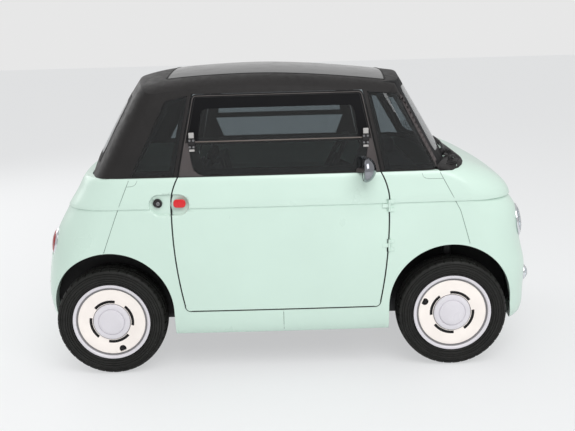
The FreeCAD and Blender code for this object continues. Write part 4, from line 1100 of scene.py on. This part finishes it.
# Lamps
def lamp(word, radius, place, out, up, rear, inner, cover):
    """Bezel, reflector, inner lamp and domed lens of one lamp, with the other side's."""
    share = radius / 76
    forms = {
        "bezel": [(-36, 74), (0.2, 75), (0.5, 83), (3, 85), (7.6, 84.4), (11.6, 80), (13, 76.6), (11.4, 74.6),
                  (6, 73.6), (-34, 72), (-36, 74)],
        "reflector": [(-40, 0), (-40, 34), (-26, 62), (0, 73.4), (3, 72.4), (-3, 66), (-18, 50), (-29, 32),
                      (-33, 16), (-33, 0)],
        "projector": [(-2, 0), (-3.4, 12), (-8, 22), (-14, 27), (-15, 30), (-18, 31), (-34, 31), (-34, 0)],
        "lens": [(27, 0), (25.6, 30), (21, 54), (14.6, 70), (10, 74.2), (7, 74.2), (7, 72), (11, 70),
                 (18.6, 54), (23, 30), (24.6, 0)],
    }
    finishes = {"bezel": chrome, "reflector": reflector_silver, "projector": inner, "lens": cover}
    for form, rings in forms.items():
        rings = [(height * (share if height < 0 else 1), ring * share) for height, ring in rings]
        piece = smooth(lathe("%s_%s" % (word, form), rings, 72), 40)
        placed(piece, place, (0, 90 - up, 180 + out if rear else -out))
        on_both_sides(piece, finishes[form])
    return piece


headlamp = lamp("headlamp", 76, (1197, -478, 712), 13, 9, False, clear_glass, lens_glass)
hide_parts("front_lamps")
lamp("marker", 36, (1240, -478, 428), 9, -1, False, amber_lens, lens_glass)
tail = lamp("tail", 64, (-1172, -498, 668), 14, 12, True, red_lens, red_lens)
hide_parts("tail_lamps")


# Nose and tail trim
def plate(name, level, sign, names):
    """A bare plate on its black holder, following the flat middle of the moulding."""
    face = abs(ahead(0, level, names, 0, sign).x)
    for form, half, height, rear, front, edge, finish, slot in (
        (name + "_holder", 176, 61, -6, 4, 4, black_plastic, "black_plastic"),
        (name, 170, 55, 3, 6.5, 1.4, plate_white, "wheel_cream"),
    ):
        low, high = (face + rear, -half, level - height), (face + front, half, level + height)
        piece = rounded_box(form, low, high, edge)
        dress(placed(piece, turn=(0, 0, 0 if sign > 0 else 180)), finish)


plate("front_plate", 470, 1, ("front_cap",))
plate("rear_plate", 500, -1, ("rear_cap",))
for level in (640, 662):
    route = [ahead(y, level, ("front_cap",), 3) for y in range(-300, 301, 50)]
    dress(rod("chrome_bar_%d" % level, route, 4.5), chrome)
for side, word in SIDES:
    place = ahead(side * 390, 420, ("rear_cap",), 0, -1)
    low, high = (place.x - 3, place.y - 42, 402), (place.x + 14, place.y + 42, 438)
    dress(rounded_box("reflector_" + word, low, high, 3), red_lens)


def wiper():
    """The wiper at rest along the foot of the screen."""
    screen = ("windscreen", "roof_shell", "front_cap", "cowl")
    foot = ahead(-300, 1052, screen, 8)
    arm = [foot, ahead(-280, 1066, screen, 26), ahead(-180, 1076, screen, 24), ahead(-60, 1082, screen, 20),
           ahead(40, 1085, screen, 15)]
    dress(rod("wiper_arm", arm, 5), black_steel)
    blade = [ahead(y, 1084 - 0.00006 * y * y, screen, 9) for y in range(-220, 301, 40)]
    dress(rod("wiper_blade", blade, 4.4), seal_rubber)
    pivot = lathe("wiper_pivot", [(-14, 17), (6, 17), (12, 14), (15, 8), (16, 0)], 32)
    dress(smooth(placed(pivot, foot, (0, 40, 0))), black_plastic)


wiper()


# Seats
SEAT_MIDDLE = -270
CHANNELS = (-150, -75, 0, 75, 150)
CHANNEL_DEPTH = 7
PAD_VOXEL = 6
PAD_SWELL = 11


def plumped(piece):
    """Blows a pad up under its cover, as foam fills it, and caps how far a point may move."""
    take(piece)
    piece.data.remesh_voxel_size = PAD_VOXEL * MM
    bpy.ops.object.voxel_remesh()
    start = [vert.co.copy() for vert in piece.data.vertices]
    cloth = piece.modifiers.new("Cloth", "CLOTH")
    cloth.settings.use_pressure = True
    cloth.settings.uniform_pressure_force = 4
    cloth.settings.effector_weights.gravity = 0
    for moment in range(1, 21):
        bpy.context.scene.frame_set(moment)
    bpy.ops.object.modifier_apply(modifier=cloth.name)
    bpy.context.scene.frame_set(1)
    for vert, was in zip(piece.data.vertices, start):
        away = vert.co - was
        if away.length > PAD_SWELL * MM:
            vert.co = was + away.normalized() * PAD_SWELL * MM
    return piece


def sewn(piece):
    """Draws the cover in along its sewn channels."""
    for vert in piece.data.vertices:
        if vert.normal.z < 0.35:
            continue
        near = min(abs(vert.co.y / MM - line) for line in CHANNELS)
        vert.co.z -= CHANNEL_DEPTH * MM * math.exp(-(near / 7) ** 2)
    return piece


def seat_pad(name, length, width, thick, crown):
    """A crowned cushion whose sides pull in between its corners, lying flat about its middle."""
    piece = rounded_box(name, (-length / 2, -width / 2, 0), (length / 2, width / 2, thick), 17, 4)
    plumped(piece)
    for vert in piece.data.vertices:
        along = vert.co.x / (length * MM / 2)
        across = vert.co.y / (width * MM / 2)
        if vert.co.z > thick * MM * 0.5:
            vert.co.z += crown * MM * (1 - along * along) * (1 - across * across)
        vert.co.y *= 1 - 0.022 * (1 - along * along)
    piece.data.update()
    sewn(piece)
    applied(piece, "SMOOTH", factor=0.5, iterations=2)
    applied(piece, "SUBSURF", levels=1, render_levels=1)
    return smooth(piece, 60)


def piping(name, length, width, thick):
    """The corded seam round a cushion's top edge."""
    half, side, corner = length / 2 - 4, width / 2 - 6, 26
    route = [(half - corner, side, thick), (half, side - corner, thick), (half, corner - side, thick),
             (half - corner, -side, thick), (corner - half, -side, thick), (-half, corner - side, thick),
             (-half, side - corner, thick), (corner - half, side, thick)]
    return rod(name, spread(route + route[:1], 40)[:-1], 3.2, closed=True)


def seats():
    """The pads and cords of both seats: each seat's base lies flat and its rest leans back."""
    parts = {"pads": [], "cord": []}
    for name, length, width, thick, crown, cord_level, place, lean in (
        ("seat_base", 380, 424, 60, 9, 62, (-50, SEAT_MIDDLE, 478), 0),
        ("seat_rest", 424, 384, 48, 7, 50, (-358, SEAT_MIDDLE, 783), 79.1),
    ):
        pad = seat_pad(name, length, width, thick, crown)
        cord = piping(name + "_cord", length, width, cord_level)
        parts["pads"].append(placed(pad, place, (0, lean, 0)))
        parts["cord"].append(placed(cord, place, (0, lean, 0)))
    cord = joined("seat_right_cord", *parts["cord"])
    pads = joined("seat_right_pads", *parts["pads"])
    shift = (0, -2 * SEAT_MIDDLE, 0)
    pads_left = placed(copied(pads, "seat_left_pads"), shift)
    cord_left = placed(copied(cord, "seat_left_cord"), shift)
    for side, piece, line in (("left", pads_left, cord_left), ("right", pads, cord)):
        dress(piece, seat_cloth)
        dress(line, seat_piping)
        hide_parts("seat_%s_cushion" % side)


seats()


# Cabin fittings: name, lower and upper corner, edge, finish, slot and whether its shading is smooth
CABIN_BLOCKS = [
    ("binnacle", (548, 165, 970), (660, 375, 1062), 26, dash_plastic, "dash_plastic", True),
    ("dial_screen", (541, 190, 985), (553, 350, 1046), 5, black_gloss, "dash_plastic", False),
    ("inner_mirror_back", (566, -95, 1352), (582, 95, 1402), 7, black_plastic, "black_plastic", True),
    ("inner_mirror_face", (563, -89, 1357), (567, 89, 1397), 1.6, mirror_silver, "chrome", False),
]
CABIN_RODS = [
    ("inner_mirror_stem", [ahead(0, 1405, ("windscreen",), -9), (596, 0, 1398), (580, 0, 1380)], 5,
     black_plastic, "black_plastic"),
]
for side, word in SIDES:
    middle = side * 300
    seat = side * 270
    lift = 6 if side < 0 else 0
    CABIN_BLOCKS += [
        ("dash_pocket_" + word, (503, middle - 150, 760), (520, middle + 150, 860), 7, dash_plastic,
         "dash_plastic", True),
        ("floor_mat_" + word, (120, seat - 190, 260.5), (440, seat + 190, 266), 2.4, mat_rubber,
         "black_plastic", False),
    ]
    CABIN_RODS += [
        ("stalk_" + word, [(352, 270 + side * 20, 905 + lift), (350, 270 + side * 70, 912 + lift),
                           (344, 270 + side * 120, 926 + lift)], 6, black_plastic, "black_plastic"),
        ("headrest_bar_" + word, [(-415, seat - 55, 1000), (-422, seat - 55, 1040), (-424, seat, 1052),
                                  (-422, seat + 55, 1040), (-415, seat + 55, 1000)], 6, bare_steel, "steel"),
    ]
for name, low, high, edge, finish, slot, rounded in CABIN_BLOCKS:
    block = rounded_box(name, low, high, edge, 5 if name == "binnacle" else 3)
    if rounded:
        smooth(block, 40 if name == "binnacle" else 35)
    dress(block, finish)
for name, route, radius, finish, slot in CABIN_RODS:
    dress(rod(name, route, radius), finish)


# Brakes and bolts
def brakes():
    rings = [(6, 0), (6, 34), (5, 52), (5, 110), (3, 112), (-3, 112), (-5, 110), (-5, 52), (-20, 50),
             (-20, 0)]
    model = smooth(lathe("brake_model", rings, 72))
    for corner in WHEEL_TURNS:
        side = 1 if "left" in corner else -1
        along, across, up = pivot_of("spin_" + corner)
        disc = copied(model, "brake_disc_" + corner)
        placed(disc, (along, across - side * 30, up), (-90 * side, 0, 0))
        dress(disc, bare_steel, "road_wheel_" + corner)
    bpy.data.objects.remove(model)


brakes()


def bolt_row(name, places, turn, radius):
    """Hexagon heads on their washers, joined."""
    heads = []
    for place in places:
        washer = lathe("washer", [(0, radius * 1.35), (1.6, radius * 1.35), (1.6, 0)], 24)
        head = lathe("head", [(1.6, radius), (6.4, radius), (7.2, radius * 0.85), (7.2, 0)], 6)
        heads += [placed(piece, place, turn) for piece in (washer, head)]
    dress(joined(name, *heads), bare_steel)


rail_bolts = [(x, side * 305, 175) for x in (-1030, -530, 70, 470, 970) for side in (-1, 1)]
bolt_row("rail_bolts", rail_bolts, (180, 0, 0), 7)
lid_bolts = [(x, y, 395) for x in (-470, -280, -90, 50) for y in (-190, 190)]
bolt_row("battery_bolts", lid_bolts, (0, 0, 0), 5)


# Floor, light and camera
PALE = rgb(240, 241, 242)
FLOOR_GLOW = 0.6
SKY_LIGHT = 0.62
SKY_SEEN = 0.8
PICTURE_WIDTH = 575
FOCAL_PIXELS = 800
SENSOR_WIDTH = 36
CAMERA_PLACE = (0.0175, -4.502, 1.693)
CAMERA_PITCH = 12.99
CAMERA_ROLL = -1.6


def studio():
    """A pale floor that the lens sees nearly as bright as the sky, and two large lights."""
    bpy.ops.mesh.primitive_plane_add(size=80)
    floor = started("floor")
    finish = shader("floor_finish", PALE, 0.6)
    seen = add_node(finish, "ShaderNodeLightPath")
    glow = add_node(finish, "ShaderNodeEmission")
    glow.inputs["Color"].default_value = (*PALE, 1)
    mix = add_node(finish, "ShaderNodeMixShader")
    share = add_node(finish, "ShaderNodeMath", operation="MULTIPLY")
    share.inputs[1].default_value = FLOOR_GLOW
    either = add_node(finish, "ShaderNodeMath", operation="MAXIMUM")
    for source, target in (
        (seen.outputs["Is Camera Ray"], either.inputs[0]),
        (seen.outputs["Is Transmission Ray"], either.inputs[1]),
        (either.outputs[0], share.inputs[0]), (share.outputs[0], mix.inputs["Fac"]),
        (principled_of(finish).outputs[0], mix.inputs[1]), (glow.outputs[0], mix.inputs[2]),
        (mix.outputs[0], finish.node_tree.nodes["Material Output"].inputs["Surface"]),
    ):
        link(finish, source, target)
    floor.data.materials.append(finish)
    world = bpy.data.worlds.new("studio_sky")
    bpy.context.scene.world = world
    world.use_nodes = True
    background = world.node_tree.nodes["Background"]
    background.inputs["Color"].default_value = (1, 1, 1, 1)
    path = add_node(world, "ShaderNodeLightPath")
    strength = add_node(world, "ShaderNodeMapRange")
    strength.inputs["To Min"].default_value = SKY_LIGHT
    strength.inputs["To Max"].default_value = SKY_SEEN
    link(world, path.outputs["Is Camera Ray"], strength.inputs["Value"])
    link(world, strength.outputs["Result"], background.inputs["Strength"])
    for name, place, power in (("key_light", (1.5, -4.5, 5.5), 260), ("fill_light", (-4, 3, 4), 120)):
        bpy.ops.object.light_add(type="AREA", location=place)
        light = started(name)
        light.data.size = 5
        light.data.energy = power
        light.rotation_euler = (Vector(place) - Vector((0, 0, 0.6))).to_track_quat("Z", "Y").to_euler()


def photo_camera():
    """The camera where the picture was taken from, tipped down and rolled a little."""
    bpy.ops.object.camera_add()
    camera = started("camera")
    camera.data.sensor_width = SENSOR_WIDTH
    camera.data.lens = SENSOR_WIDTH * FOCAL_PIXELS / PICTURE_WIDTH
    down = Matrix.Rotation(math.radians(90 - CAMERA_PITCH), 4, "X")
    roll = Matrix.Rotation(math.radians(CAMERA_ROLL), 4, "Z")
    camera.matrix_world = Matrix.Translation(CAMERA_PLACE) @ down @ roll
    bpy.context.scene.camera = camera


studio()
photo_camera()
bpy.context.scene.view_settings.view_transform = "Standard"
